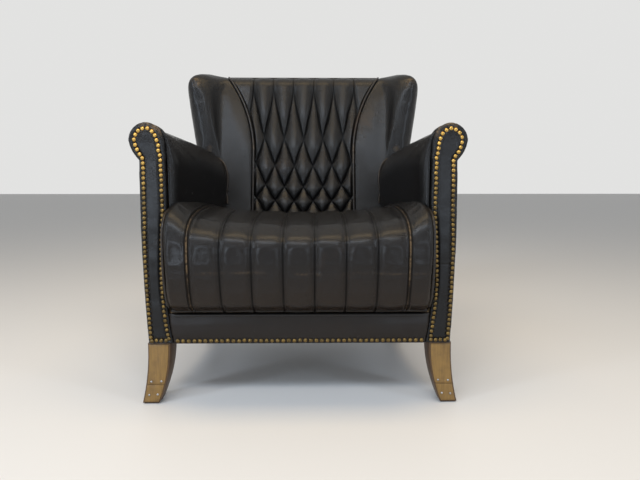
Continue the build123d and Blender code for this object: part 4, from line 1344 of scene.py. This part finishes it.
    def skin(self, across: np.ndarray, distance: np.ndarray) -> np.ndarray:
        """Places of the skin, from one side skirt over the flutes to the other.

        Args:
            across: From 0 at the left skirt to 1 at the right one.
            distance: Distance from the rear end.

        Returns:
            Places, one row each.
        """
        places, normals = self.path(distance)
        half = self.half(places[:, 0])
        arc = self.edge_radius * math.pi / 2
        outer = self.outer
        signed = self.columns(across)
        spread = (half - outer) / (self.front_half - outer)
        reach = np.abs(signed)
        reach = np.where(reach > outer, outer + (reach - outer) * np.clip(spread, 0.02, 1.5), reach)
        flat = half - self.edge_radius
        turn = np.clip((reach - flat) / self.edge_radius, 0, math.pi / 2)
        x = np.minimum(reach, flat) + self.edge_radius * np.sin(turn)
        fall = self.edge_radius * (1 - np.cos(turn)) + np.maximum(reach - flat - arc, 0)
        level = smooth_step(math.pi / 2, 0.2, turn) * smooth_step(0, 0.03, self.length - distance)
        lift = self.flutes(x, half) * level - fall
        rise = self.saddle(x, places)
        places = places + normals * lift[:, None]
        places[:, 1] += rise
        return np.column_stack((x * np.sign(signed), places))

    def cover(self) -> None:
        """Make the fluted leather, swell it and draw in its seams."""
        rows = round(self.length / self.spacing)
        piece, across, along = sheet("seat_leather", self.column_count(), rows)
        distance = along * self.length
        move_points(piece, self.skin(across, distance))
        set_float(piece, "across", across)
        set_float(piece, "along", distance)
        seam = self.seam_gap(points_of(piece)[:, 0])
        edge = smooth_step(0.03, 0.0, np.minimum(np.minimum(across, 1 - across), 0.5))
        held = np.maximum(smooth_step(0.006, 0.002, seam), edge)
        held = np.maximum(held, smooth_step(0.02, 0.0, self.length - distance))
        held = np.maximum(held, smooth_step(0.03, 0.0, distance))
        Padding(cap=0.0018, pressure=3).swell(piece, held)
        self.draw_in(piece)
        close_behind(piece, (0, 0.014, -0.008))
        shade(piece, math.radians(80))
        dress(piece, self.finishes.leather, ["seat_cover"])

    def seam_gap(self, x: np.ndarray) -> np.ndarray:
        """Distance across the seat to the nearest flute seam.

        Args:
            x: Distances from the middle of the chair.

        Returns:
            One distance per place.
        """
        outer = self.outer
        place = (np.clip(x, -outer, outer) + outer) / self.flute_pitch
        nearest = np.abs(place - np.round(place)) * self.flute_pitch
        return np.where(np.abs(x) > outer, np.abs(x) - outer, nearest)

    def draw_in(self, piece: bpy.types.Object) -> None:
        """Pinch the seams, raise the outer double seams and ruck the leather beside them.

        Args:
            piece: The seat's leather.
        """
        points = points_of(piece)
        normals = normals_of(piece)
        distance = get_float(piece, "along")
        outer = self.outer
        gap = self.seam_gap(points[:, 0])
        double = np.abs(np.abs(points[:, 0]) - outer)
        beside = np.exp(-(((double - self.double_half) / 0.0014) ** 2))
        top = np.exp(-((double / 0.0018) ** 2))
        sewn = double < 0.012
        line = np.exp(-((gap / 0.0022) ** 2))
        move = np.where(sewn, self.ridge * top - self.double_depth * beside, -self.seam_depth * line)
        # Painted shade along the flute seams and beside the outer double seams.
        set_float(piece, "groove", np.where(sewn, 0.95 * beside, np.exp(-((gap / 0.0029) ** 2))))
        flat = np.column_stack((points[:, 0], distance))
        ruck = ripple(flat * (0.35, 1), 0.017, 11) * smooth_step(0.026, 0.004, gap)
        soft = ripple(flat, 0.09, 12)
        nose = smooth_step(0.43, 0.38, points[:, 2])
        move = move + 0.00022 * ruck * (0.4 + 0.6 * nose) + 0.0006 * soft
        fold = points[:, 2] - self.fold_z + 0.003 * ripple(flat, 0.2, 5)
        move = move - self.fold_depth * np.exp(-((fold / 0.0026) ** 2))
        move_points(piece, points + normals * move[:, None])
        wear = 0.15 * np.exp(-((fold / 0.0022) ** 2)) * smooth_step(-0.6, 0.6, ripple(flat, 0.12, 14))
        rubbed = np.exp(-(((points[:, 2] - self.rubbed_z) / 0.045) ** 2))
        seam_wear = np.exp(-((double / 0.0016) ** 2)) * (0.3 + 1.2 * rubbed)
        set_float(piece, "wear", np.clip(np.maximum(wear, seam_wear), 0, 1))
        # Painted brown reflection, low on the seat's front and on its nose.
        low = smooth_step(0.36, 0.24, points[:, 2])
        set_float(piece, "painted_brown_reflection", 0.15 * nose + 0.45 * low)

    def welt(self, side: Side) -> None:
        """Run the welt along one edge of the seat.

        Args:
            side: The side to make.
        """
        distance = np.linspace(0.03, self.length - 0.004, 150)
        places, normals = self.path(distance)
        half = self.half(places[:, 0])
        turn = math.radians(62)
        x = half - self.edge_radius * (1 - math.sin(turn)) + 0.0012
        lift = -self.edge_radius * (1 - math.cos(turn)) + 0.0016
        rise = self.saddle(x, places)
        places = places + normals * lift
        places[:, 1] += rise
        line = np.column_stack((x * side.value, places))
        piece = tube(f"{side.word}_seat_welt", line, self.welt_radius)
        set_float(piece, "wear", np.full(len(piece.data.vertices), 0.06))
        dress(piece, self.finishes.piping)

    def foot_welt(self) -> None:
        """Run the lower welt along the foot of the seat, over the apron's own."""
        x = np.linspace(-self.foot_half, self.foot_half, 60)
        line = np.column_stack((x, np.full_like(x, self.foot_y), np.full_like(x, self.foot_z)))
        piece = tube("seat_foot_welt", line, self.foot_radius)
        dress(piece, self.finishes.piping)

    def stitches(self) -> None:
        """Sew both sides of the two outer seams."""
        pitch = 0.0052
        offset = 0.0068
        sink = 0.0012
        outer = self.outer
        distance = np.arange(0.08, self.length - 0.006, pitch)
        path, normals = self.path(distance)
        spots: list[tuple[Vector, Vector, Vector]] = []
        tangents = np.gradient(path, axis=0)
        for side in Side:
            for step in (-1, 1):
                x = outer + step * offset
                across = np.full_like(distance, x)
                lift = self.flutes(across, np.full_like(distance, self.front_half)) - sink
                places = path + normals * lift[:, None]
                places[:, 1] += self.saddle(across, path)
                for place, normal, tangent in zip(places, normals, tangents):
                    spots.append(
                        (Vector((x * side.value, *place)), Vector((0, *normal)), Vector((0, *tangent)))
                    )
        pattern = stitch_pattern(0.0036, 0.0005)
        piece = repeat_piece("seat_stitches", pattern, spots)
        dress(piece, self.finishes.thread)

    def build(self) -> None:
        """Make every piece of the seat."""
        self.cover()
        self.stitches()
        self.foot_welt()
        for side in Side:
            self.welt(side)


def stitch_pattern(length: float, radius: float) -> bpy.types.Object:
    """Model one stitch at the origin, lying along X: a short thread with sunken ends.

    Args:
        length: Length of the thread.
        radius: Radius of the thread.

    Returns:
        The stitch.
    """
    deselect()
    level = (0, math.pi / 2, 0)
    bpy.ops.mesh.primitive_cylinder_add(vertices=6, radius=radius, depth=length, rotation=level)
    piece = bpy.context.active_object
    bpy.ops.object.transform_apply(location=True, rotation=True, scale=True)
    points = points_of(piece)
    points[:, 2] -= radius * 1.2 * (np.abs(points[:, 0]) / (length / 2)) ** 2
    move_points(piece, points)
    return piece


def nail_pattern(radius: float, height: float) -> bpy.types.Object:
    """Model one domed nail head at the origin, with its top along Z.

    Args:
        radius: Radius of the head.
        height: Height of the dome.

    Returns:
        The nail head.
    """
    deselect()
    bpy.ops.mesh.primitive_uv_sphere_add(segments=12, ring_count=8, radius=radius)
    piece = bpy.context.active_object
    bpy.ops.object.mode_set(mode="EDIT")
    bpy.ops.mesh.select_all(action="SELECT")
    bpy.ops.mesh.bisect(plane_co=(0, 0, 0), plane_no=(0, 0, 1), clear_inner=True, use_fill=True)
    bpy.ops.mesh.select_all(action="SELECT")
    bpy.ops.transform.resize(value=(1, 1, height / radius))
    bpy.ops.object.mode_set(mode="OBJECT")
    return piece


@dataclass
class Arms:
    """The padded arms: swollen pads, nailed facings, outer panels and their pipings."""

    finishes: Finishes
    wings: dict[Side, bpy.types.Object]
    front_y: float = -0.293
    facing_depth: float = 0.012
    scroll_inset: float = 0.0138
    inner_inset: float = 0.009
    outer_inset: float = 0.0105
    outer_drift: float = 0.003
    nail_pitch: float = 0.0109
    nail_radius: float = 0.0047
    nail_height: float = 0.0027
    piping_radius: float = 0.0029
    rim_radius: float = 0.006
    seam_z: float = 0.331
    pad_bulge: float = 0.012
    pad_sink: float = 0.005
    cover_heights: tuple[float, ...] = (0.2, 0.27, 0.3, 0.367, 0.42, 0.474, 0.519, 0.553, 0.58, 0.61, 0.65)
    cover_reaches: tuple[float, ...] = (
        0.0, 0.002, 0.004, 0.0085, 0.011, 0.012, 0.0085, 0.003, -0.003, -0.008, -0.004
    )
    inner_limit: float = 0.2925
    pad_net: float = 0.005
    facing_net: float = 0.0022
    groove_depth: float = 0.0016
    field_crown: float = 0.002
    roll_x: float = 0.32
    roll_z: float = 0.51
    joint_y: float = 0.12
    sight_y: float = -0.25
    joint_in: float = 0.003
    joint_front: float = 0.0035
    joint_up: float = 0.0015

    def pad(self, side: Side) -> bpy.types.Object:
        """Make one arm pad, swollen over its stuffing.

        Args:
            side: The side to make.

        Returns:
            The finished pad.
        """
        node = f"{side.word}_arm_pad"
        piece = node_copy(node, f"{side.word}_arm_leather")
        remesh(piece, self.pad_net)
        soften(piece, 5)
        points = points_of(piece)
        rear_y = self.front_y + self.facing_depth
        held = smooth_step(0.014, 0.004, points[:, 1] - rear_y)
        held = np.maximum(held, smooth_step(0.3, 0.24, points[:, 2]))
        outside = smooth_step(0.335, 0.345, np.abs(points[:, 0])) * smooth_step(0.57, 0.555, points[:, 2])
        held = np.maximum(held, outside)
        Padding(cap=0.003, pressure=4).swell(piece, held)
        subdivide(piece)
        points = points_of(piece)
        depth = points[:, 1] - rear_y
        behind = np.sqrt(1 - (1 - np.clip(depth / 0.02, 0, 1)) ** 2) * smooth_step(0.24, 0.04, depth)
        inside = smooth_step(0.335, 0.3, np.abs(points[:, 0])) * smooth_step(0.43, 0.47, points[:, 2])
        below = smooth_step(0.62, 0.55, points[:, 2])
        points[:, 0] -= side.value * self.pad_bulge * behind * inside * below
        above = smooth_step(0.5, 0.6, points[:, 2])
        points[:, 2] -= self.pad_sink * above * smooth_step(rear_y, rear_y + 0.025, points[:, 1])
        move_points(piece, points)
        spots = (((0.325, -0.275, 0.642), 0.02, 0.6), ((0.33, -0.2, 0.642), 0.04, 0.12))
        set_float(piece, "wear", worn_spots(points, spots, side))
        shade(piece, math.radians(70))
        dress(piece, self.finishes.leather, [node])
        return piece

    def outline(self, side: Side) -> np.ndarray:
        """Front outline of the facing node, as ordered points in the XZ plane.

        Args:
            side: The side that the facing is on.

        Returns:
            The points, counter-clockwise as seen from the front.
        """
        node = frame["nodes"][f"{side.word}_arm_facing"]
        mesh = bmesh.new()
        mesh.from_mesh(node.data)
        bmesh.ops.remove_doubles(mesh, verts=mesh.verts, dist=MERGE_GAP)
        mesh.normal_update()
        rim = {}
        for edge in mesh.edges:
            front = [face.normal.y < -0.9 for face in edge.link_faces]
            if sum(front) == 1:
                first, second = (vertex.index for vertex in edge.verts)
                rim.setdefault(first, []).append(second)
                rim.setdefault(second, []).append(first)
        mesh.verts.ensure_lookup_table()
        start = next(iter(rim))
        loop = [start]
        previous, current = start, rim[start][0]
        while current != start:
            loop.append(current)
            ahead = [other for other in rim[current] if other != previous][0]
            previous, current = current, ahead
        outline = np.array([(mesh.verts[index].co.x, mesh.verts[index].co.z) for index in loop])
        mesh.free()
        next_x, next_z = np.roll(outline, -1, 0).T
        area = np.sum(outline[:, 0] * next_z - outline[:, 1] * next_x)
        outline = outline if area > 0 else outline[::-1]
        outline = resample(outline, 0.0015)
        return self.widened(outline, side)

    def widened(self, line: np.ndarray, side: Side) -> np.ndarray:
        """Bring the inner edge in, where the leather covers the post, and in at the scroll.

        Args:
            line: Points in the XZ plane, one row each.
            side: The side that they are on.

        Returns:
            The moved points.
        """
        reach = line[:, 0] * side.value
        cover = np.interp(line[:, 1], self.cover_heights, self.cover_reaches)
        cover = cover * smooth_step(0.345, 0.3, reach)
        inner = np.maximum(reach - cover, np.minimum(reach, self.inner_limit))
        return np.column_stack((inner * side.value, line[:, 1]))

    def facing(self, side: Side) -> None:
        """Make one facing, with a rolled edge, a nailed groove and a crowned field.

        Args:
            side: The side to make.
        """
        piece = node_copy(f"{side.word}_arm_facing", f"{side.word}_facing_leather")
        remesh(piece, self.facing_net)
        subdivide(piece)
        points = points_of(piece)
        points[:, [0, 2]] = self.widened(points[:, [0, 2]], side)
        line = self.outline(side)
        gap = np.array([np.min(np.hypot(line[:, 0] - x, line[:, 1] - z)) for x, z in points[:, [0, 2]]])
        front = smooth_step(self.front_y + 0.006, self.front_y + 0.003, points[:, 1])
        level = 1 - np.clip(1 - gap / self.rim_radius, 0, 1) ** 2
        rim = self.rim_radius * (1 - np.sqrt(np.clip(level, 0, 1)))
        inset = self.nail_insets(points[:, [0, 2]], side)
        groove = self.groove_depth * np.exp(-(((gap - inset) / 0.0036) ** 2))
        crown = self.field_crown * smooth_step(0.0125, 0.0175, gap)
        seam = 0.0009 * np.exp(-(((points[:, 2] - self.seam_z) / 0.0013) ** 2))
        step = 0.0006 * smooth_step(self.seam_z - 0.001, self.seam_z + 0.001, points[:, 2])
        shape = rim + groove - crown + (seam - step if side is Side.RIGHT else 0)
        points[:, 1] += front * (shape - 0.0012) + 0.0004 * ripple(points, 0.05, 40 + side.value)
        move_points(piece, points)
        shade(piece, math.radians(70))
        spots = (((0.334, -0.293, 0.648), 0.014, 0.8), ((0.305, -0.285, 0.63), 0.016, 0.5))
        set_float(piece, "wear", worn_spots(points, spots, side))
        dress(piece, self.finishes.leather, [f"{side.word}_arm_facing"])

    def nail_insets(self, places: np.ndarray, side: Side) -> np.ndarray:
        """Distance of the nails from the edge, at each place in the XZ plane.

        Args:
            places: Places in the XZ plane, one row each.
            side: The side that they are on.

        Returns:
            One distance per place.
        """
        scroll = smooth_step(0.555, 0.6, places[:, 1])
        inner = smooth_step(0.345, 0.325, places[:, 0] * side.value)
        outer = self.outer_inset - self.outer_drift * smooth_step(0.45, 0.35, places[:, 1])
        low = outer + (self.inner_inset - outer) * inner
        return low + (self.scroll_inset - low) * scroll

    def nails(self, side: Side) -> None:
        """Nail round the facing, near its edge.

        Args:
            side: The side to make.
        """
        outline = resample(self.outline(side), 0.001)
        tangent = np.roll(outline, -1, 0) - np.roll(outline, 1, 0)
        inward = np.column_stack((-tangent[:, 1], tangent[:, 0]))
        inward /= np.linalg.norm(inward, axis=1)[:, None]
        inset = self.nail_insets(outline, side)
        line = outline + inward * inset[:, None]
        nearest = np.array([np.min(np.linalg.norm(outline - point, axis=1)) for point in line])
        line = resample(line[nearest > inset - 0.0003], self.nail_pitch)
        source = np.random.default_rng(31 + side.value)
        spots = []
        for x, z in line:
            jitter = source.normal(scale=0.0003, size=2)
            tilt = source.normal(scale=0.06, size=2)
            place = Vector((x + jitter[0], self.front_y - 0.0004, z + jitter[1]))
            spots.append((place, Vector((tilt[0], -1, tilt[1])), Vector((1, 0, 0))))
        pattern = nail_pattern(self.nail_radius, self.nail_height)
        piece = repeat_piece(f"{side.word}_facing_nails", pattern, spots)
        dress(piece, self.finishes.brass)

    def panel(self, side: Side) -> None:
        """Make the plain leather over the outside of the arm.

        Args:
            side: The side to make.
        """
        node = f"{side.word}_outer_arm_panel"
        piece = node_copy(node, f"{side.word}_outer_arm_leather")
        bevel(piece, 0.002, 3)
        shade(piece)
        dress(piece, self.finishes.leather, [node])

    def joint_piping(self, side: Side, pad: bpy.types.Object) -> None:
        """Run a piping where the arm's pad meets the wing.

        Args:
            side: The side to make.
            pad: The arm pad of that side.
        """
        wing_tree = BVHTree.FromObject(self.wings[side], bpy.context.evaluated_depsgraph_get())
        pad_tree = BVHTree.FromObject(pad, bpy.context.evaluated_depsgraph_get())
        line = []
        for angle in np.linspace(math.radians(-4), math.radians(88), 60):
            if angle < 0.02:
                continue
            line.append(self.joint_point(side, angle, wing_tree, pad_tree))
        low = self.joint_column(side, wing_tree, pad_tree)
        points = [point for point in low + line if point is not None]
        if len(points) < 8:
            log.warning("%s arm joint has no line", side.word)
            return
        path = resample(np.array([tuple(point) for point in points]), 0.004, closed=False)
        for _ in range(6):
            path[1:-1] = (path[:-2] + 2 * path[1:-1] + path[2:]) / 4
        piece = tube(f"{side.word}_arm_welt", path, self.piping_radius)
        set_float(piece, "wear", np.full(len(piece.data.vertices), 0.12))
        dress(piece, self.finishes.piping)

    def joint_point(self, side: Side, angle: float, wing: BVHTree, pad: BVHTree) -> Vector | None:
        """Find the joint on the arm's roll, at an angle up from level.

        Args:
            side: The side that the arm is on.
            angle: Angle up from level.
            wing: Faces of the wing.
            pad: Faces of the pad.

        Returns:
            The place, or None where pad and wing don't meet.
        """
        centre = Vector((self.roll_x * side.value, 0, self.roll_z))
        outward = Vector((-math.cos(angle) * side.value, 0, math.sin(angle)))
        y = self.joint_y
        place = None
        for _ in range(6):
            origin = centre + outward * 0.16
            origin.y = y
            hit = pad.ray_cast(origin, -outward)[0]
            if hit is None:
                return None
            touch = wing.ray_cast(Vector((hit.x, self.sight_y, hit.z)), Vector((0, 1, 0)))[0]
            if touch is None:
                return None
            y = touch.y
            x = hit.x - self.joint_in * side.value
            place = Vector((x, touch.y - self.joint_front, hit.z + self.joint_up))
        return place

    def joint_column(self, side: Side, wing: BVHTree, pad: BVHTree) -> list[Vector | None]:
        """Find the joint on the flat inside of the arm, from the seat up.

        Args:
            side: The side that the arm is on.
            wing: Faces of the wing.
            pad: Faces of the pad.

        Returns:
            The places, with None where pad and wing don't meet.
        """
        column = []
        for z in np.linspace(0.445, 0.505, 16):
            y = self.joint_y
            place = None
            for _ in range(6):
                hit = pad.ray_cast(Vector((0.1 * side.value, y, z)), Vector((side.value, 0, 0)))[0]
                if hit is None:
                    break
                touch = wing.ray_cast(Vector((hit.x, self.sight_y, z)), Vector((0, 1, 0)))[0]
                if touch is None:
                    break
                y = touch.y
                x = hit.x - self.joint_in * side.value
                place = Vector((x, touch.y - self.joint_front, z))
            column.append(place)
        return column

    def build(self) -> None:
        """Make every piece of both arms."""
        for side in Side:
            pad = self.pad(side)
            self.facing(side)
            self.nails(side)
            self.panel(side)
            self.joint_piping(side, pad)


def resample(line: np.ndarray, step: float, closed: bool = True) -> np.ndarray:
    """Space points evenly along a line.

    Args:
        line: Points of the line, one row each.
        step: About the distance from one new point to the next.
        closed: Whether the line closes on its first point.

    Returns:
        The new points.
    """
    full = np.vstack((line, line[:1])) if closed else line
    lengths = np.concatenate(([0], np.cumsum(np.linalg.norm(np.diff(full, axis=0), axis=1))))
    count = max(2, round(lengths[-1] / step))
    marks = np.linspace(0, lengths[-1], count, endpoint=not closed)
    return np.column_stack([np.interp(marks, lengths, full[:, axis]) for axis in range(full.shape[1])])


@dataclass
class Apron:
    """The padded apron under the seat, with its row of nails."""

    finishes: Finishes
    front_y: float = -0.293
    nail_z: float = 0.1542
    nail_pitch: float = 0.0127
    nail_radius: float = 0.0049
    nail_height: float = 0.0027
    nail_half: float = 0.2785
    low_z: float = 0.146
    high_z: float = 0.218
    swell: float = 0.0022

    def panel(self) -> None:
        """Make the padded apron."""
        piece = node_copy("apron_panel", "apron_leather")
        remesh(piece, 0.003)
        soften(piece, 2)
        points = points_of(piece)
        rim = np.minimum(points[:, 2] - self.low_z, self.high_z - points[:, 2])
        bulge = smooth_step(0, 0.03, rim) * smooth_step(-0.285, -0.291, points[:, 1])
        points[:, 1] -= self.swell * bulge * (1 + 0.3 * ripple(points[:, [0, 2]], 0.12, 6))
        move_points(piece, points)
        shade(piece, math.radians(70))
        # Painted brown reflection, even over the whole apron.
        set_float(piece, "painted_brown_reflection", np.full(len(points), 0.35))
        dress(piece, self.finishes.leather, ["apron_panel"])

    def nails(self) -> None:
        """Nail along the bottom of the apron."""
        source = np.random.default_rng(7)
        count = round(2 * self.nail_half / self.nail_pitch)
        spots = []
        for x in np.linspace(-self.nail_half, self.nail_half, count + 1):
            jitter = source.normal(scale=0.0004, size=2)
            tilt = source.normal(scale=0.07, size=2)
            place = Vector((x + jitter[0], self.front_y - 0.0008, self.nail_z + jitter[1]))
            spots.append((place, Vector((tilt[0], -1, tilt[1])), Vector((1, 0, 0))))
        piece = repeat_piece("apron_nails", nail_pattern(self.nail_radius, self.nail_height), spots)
        dress(piece, self.finishes.brass)

    def build(self) -> None:
        """Make the apron and its nails."""
        self.panel()
        self.nails()


@dataclass
class Legs:
    """The four legs, the tacked plates on the front ones and their tacks."""

    finishes: Finishes
    tack_radius: float = 0.0026
    tack_height: float = 0.0012
    tack_shares: tuple[tuple[float, float], ...] = (
        (0.2, 0.675),
        (0.8, 0.67),
        (0.2, 0.36),
        (0.78, 0.355),
        (0.22, 0.13),
        (0.76, 0.12),
    )

    def leg(self, node: str, finish: bpy.types.Material) -> None:
        """Make one leg with eased edges.

        Args:
            node: Name of the leg's node.
            finish: Its wood.
        """
        piece = node_copy(node, f"{node}_wood")
        bevel(piece, 0.0016, 2)
        shade(piece)
        dress(piece, finish, [node])

    def plate(self, node: str) -> None:
        """Dress one tacked plate with eased edges.

        Args:
            node: Name of the plate's node.
        """
        piece = node_copy(node, f"{node}_skin")
        bevel(piece, 0.0006, 2)
        shade(piece)
        dress(piece, self.finishes.leg_wood, [node])

    def tacks(self, side: Side) -> None:
        """Tack the plates to one front leg.

        Args:
            side: The side to make.
        """
        low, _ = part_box(f"{side.word}_toe_piece")
        _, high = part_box(f"{side.word}_leg_facing")
        tree = BVHTree.FromPolygons(*joined_faces((f"{side.word}_toe_piece", f"{side.word}_leg_facing")))
        spots = []
        for across, rise in self.tack_shares:
            z = low.z + (high.z - low.z) * rise
            edges = []
            for start, direction in ((low.x - 0.1, 1), (high.x + 0.1, -1)):
                hit = tree.ray_cast(Vector((start, (low.y + high.y) / 2, z)), Vector((direction, 0, 0)))[0]
                edges.append(hit.x if hit else start)
            share = across if side is Side.RIGHT else 1 - across
            x = min(edges) + (max(edges) - min(edges)) * share
            hit, normal, _, _ = tree.ray_cast(Vector((x, -0.5, z)), Vector((0, 1, 0)))
            if hit is not None:
                spots.append((hit, normal, Vector((1, 0, 0))))
        pattern = nail_pattern(self.tack_radius, self.tack_height)
        piece = repeat_piece(f"{side.word}_leg_tacks", pattern, spots)
        dress(piece, self.finishes.steel)

    def build(self) -> None:
        """Make every leg piece."""
        for side in Side:
            self.leg(f"{side.word}_front_leg", self.finishes.leg_side)
            self.leg(f"{side.word}_rear_leg", self.finishes.leg_side)
            self.plate(f"{side.word}_leg_facing")
            self.plate(f"{side.word}_toe_piece")
            self.tacks(side)


def joined_faces(nodes: Sequence[str]) -> tuple[list[Vector], list[tuple[int, ...]]]:
    """Vertices and faces of several CAD nodes, as one set.

    Args:
        nodes: Names of the nodes.

    Returns:
        The vertices, and each face as the numbers of its corners.
    """
    places: list[Vector] = []
    faces: list[tuple[int, ...]] = []
    for name in nodes:
        mesh = frame["nodes"][name].data
        start = len(places)
        places.extend(vertex.co.copy() for vertex in mesh.vertices)
        faces.extend(tuple(start + corner for corner in face.vertices) for face in mesh.polygons)
    return places, faces


def dress_frame(finishes: Finishes) -> None:
    """Give the CAD nodes that stay their finishes.

    Args:
        finishes: The finishes of the chair.
    """
    by_slot = {
        Slot.LEATHER: finishes.piping,
        Slot.STUFFING: finishes.stuffing,
        Slot.LINING: finishes.lining,
        Slot.FRAME_WOOD: finishes.frame_wood,
        Slot.LEG_WOOD: finishes.leg_side,
        Slot.LEG_PLATE: finishes.leg_wood,
        Slot.STEEL: finishes.steel,
        Slot.GLIDE: finishes.glide,
    }
    slots = {entry["node"]: Slot(entry["material_slot"]) for entry in frame["record"]["subparts"]}
    for name, node in frame["nodes"].items():
        node.data.materials.clear()
        node.data.materials.append(by_slot[slots[name]])


@dataclass
class Studio:
    """Pale floor, white surroundings, soft lamps and the camera."""

    lens: float = 27.06
    place: tuple[float, float, float] = (0.032, -1.358, 0.522)
    pitch: float = math.radians(7.3)
    yaw: float = math.radians(0.75)
    sky_light: float = 0.3
    sky_seen: float = 0.82

    def camera(self) -> None:
        """Set the camera where the photograph was taken from."""
        data = bpy.data.cameras.new("camera")
        data.lens = self.lens
        data.sensor_width = 36
        data.clip_start = 0.05
        camera = bpy.data.objects.new("camera", data)
        camera.location = self.place
        camera.rotation_euler = (math.pi / 2 - self.pitch, 0, -self.yaw)
        bpy.context.scene.collection.objects.link(camera)
        bpy.context.scene.camera = camera

    def floor(self) -> None:
        """Lay a wide pale floor."""
        deselect()
        bpy.ops.mesh.primitive_plane_add(size=30, location=(0, 0, 0))
        floor = bpy.context.active_object
        floor.name = "floor"
        graph = Graph("pale_floor")
        graph.shader.inputs["Base Color"].default_value = (0.78, 0.765, 0.74, 1)
        graph.shader.inputs["Roughness"].default_value = 0.55
        floor.data.materials.append(graph.material)

    def surroundings(self) -> None:
        """Make the surroundings white to look at and softer as a light."""
        world = bpy.data.worlds.new("surroundings")
        world.use_nodes = True
        bpy.context.scene.world = world
        nodes, links = world.node_tree.nodes, world.node_tree.links
        nodes.clear()
        light = nodes.new("ShaderNodeBackground")
        light.inputs["Color"].default_value = (0.93, 0.96, 1, 1)
        light.inputs["Strength"].default_value = self.sky_light
        seen = nodes.new("ShaderNodeBackground")
        seen.inputs["Color"].default_value = (0.93, 0.93, 0.92, 1)
        seen.inputs["Strength"].default_value = self.sky_seen
        path = nodes.new("ShaderNodeLightPath")
        shared = nodes.new("ShaderNodeMath")
        shared.operation = "MAXIMUM"
        links.new(path.outputs["Is Glossy Ray"], shared.inputs[0])
        links.new(path.outputs["Is Transmission Ray"], shared.inputs[1])
        either = nodes.new("ShaderNodeMath")
        either.operation = "MAXIMUM"
        links.new(path.outputs["Is Camera Ray"], either.inputs[0])
        links.new(shared.outputs[0], either.inputs[1])
        mix = nodes.new("ShaderNodeMixShader")
        links.new(either.outputs[0], mix.inputs[0])
        links.new(light.outputs[0], mix.inputs[1])
        links.new(seen.outputs[0], mix.inputs[2])
        output = nodes.new("ShaderNodeOutputWorld")
        links.new(mix.outputs[0], output.inputs["Surface"])

    def lamp(
        self,
        name: str,
        place: Sequence[float],
        target: Sequence[float],
        size: tuple[float, float],
        power: float,
        colour: Sequence[float],
    ) -> None:
        """Hang one soft oblong lamp, aimed at a target.

        Args:
            name: Name of the lamp.
            place: Where it hangs.
            target: The place that it is aimed at.
            size: Its width and height.
            power: Its power in watts.
            colour: Its colour.
        """
        data = bpy.data.lights.new(name, "AREA")
        data.shape = "RECTANGLE"
        data.size, data.size_y = size
        data.energy = power
        data.color = colour
        lamp = bpy.data.objects.new(name, data)
        lamp.location = place
        lamp.rotation_euler = (Vector(target) - Vector(place)).to_track_quat("-Z", "Y").to_euler()
        bpy.context.scene.collection.objects.link(lamp)

    def build(self) -> None:
        """Set the whole studio."""
        scene = bpy.context.scene
        scene.view_settings.view_transform = "Standard"
        self.camera()
        self.floor()
        self.surroundings()
        blue, gold = (0.72, 0.84, 1), (1, 0.74, 0.4)
        self.lamp("window", (-0.3, -1.6, 1.95), (0, -0.2, 0.45), (2.2, 0.3), 26, blue)
        self.lamp("upper_wall", (0, -1.9, 2.75), (0, 0.1, 0.6), (2.2, 0.35), 10, gold)
        self.lamp("ceiling", (0, -0.45, 2.8), (0, -0.3, 0.4), (2.4, 0.8), 32, gold)
        self.lamp("left_low", (-1.2, -3, 0.42), (-0.3, -0.3, 0.4), (0.8, 0.75), 17, blue)
        self.lamp("right_low", (1.1, -3, 0.42), (0.3, -0.3, 0.4), (0.8, 0.75), 9, blue)
        self.lamp("left_tall", (-2.3, -1.6, 1.3), (-0.3, 0.1, 0.7), (0.3, 1.6), 20, blue)
        self.lamp("right_tall", (2.3, -1.6, 1.3), (0.3, 0.1, 0.7), (0.3, 1.6), 15, blue)


def main() -> None:
    """Build the looks of the chair in order."""
    logging.basicConfig(level=logging.INFO, format="%(message)s")
    finishes = Finishes()
    dress_frame(finishes)
    wings = Back(finishes).build()
    Seat(finishes).build()
    Arms(finishes, wings).build()
    Apron(finishes).build()
    Legs(finishes).build()
    Studio().build()


if __name__ == "__main__":
    main()
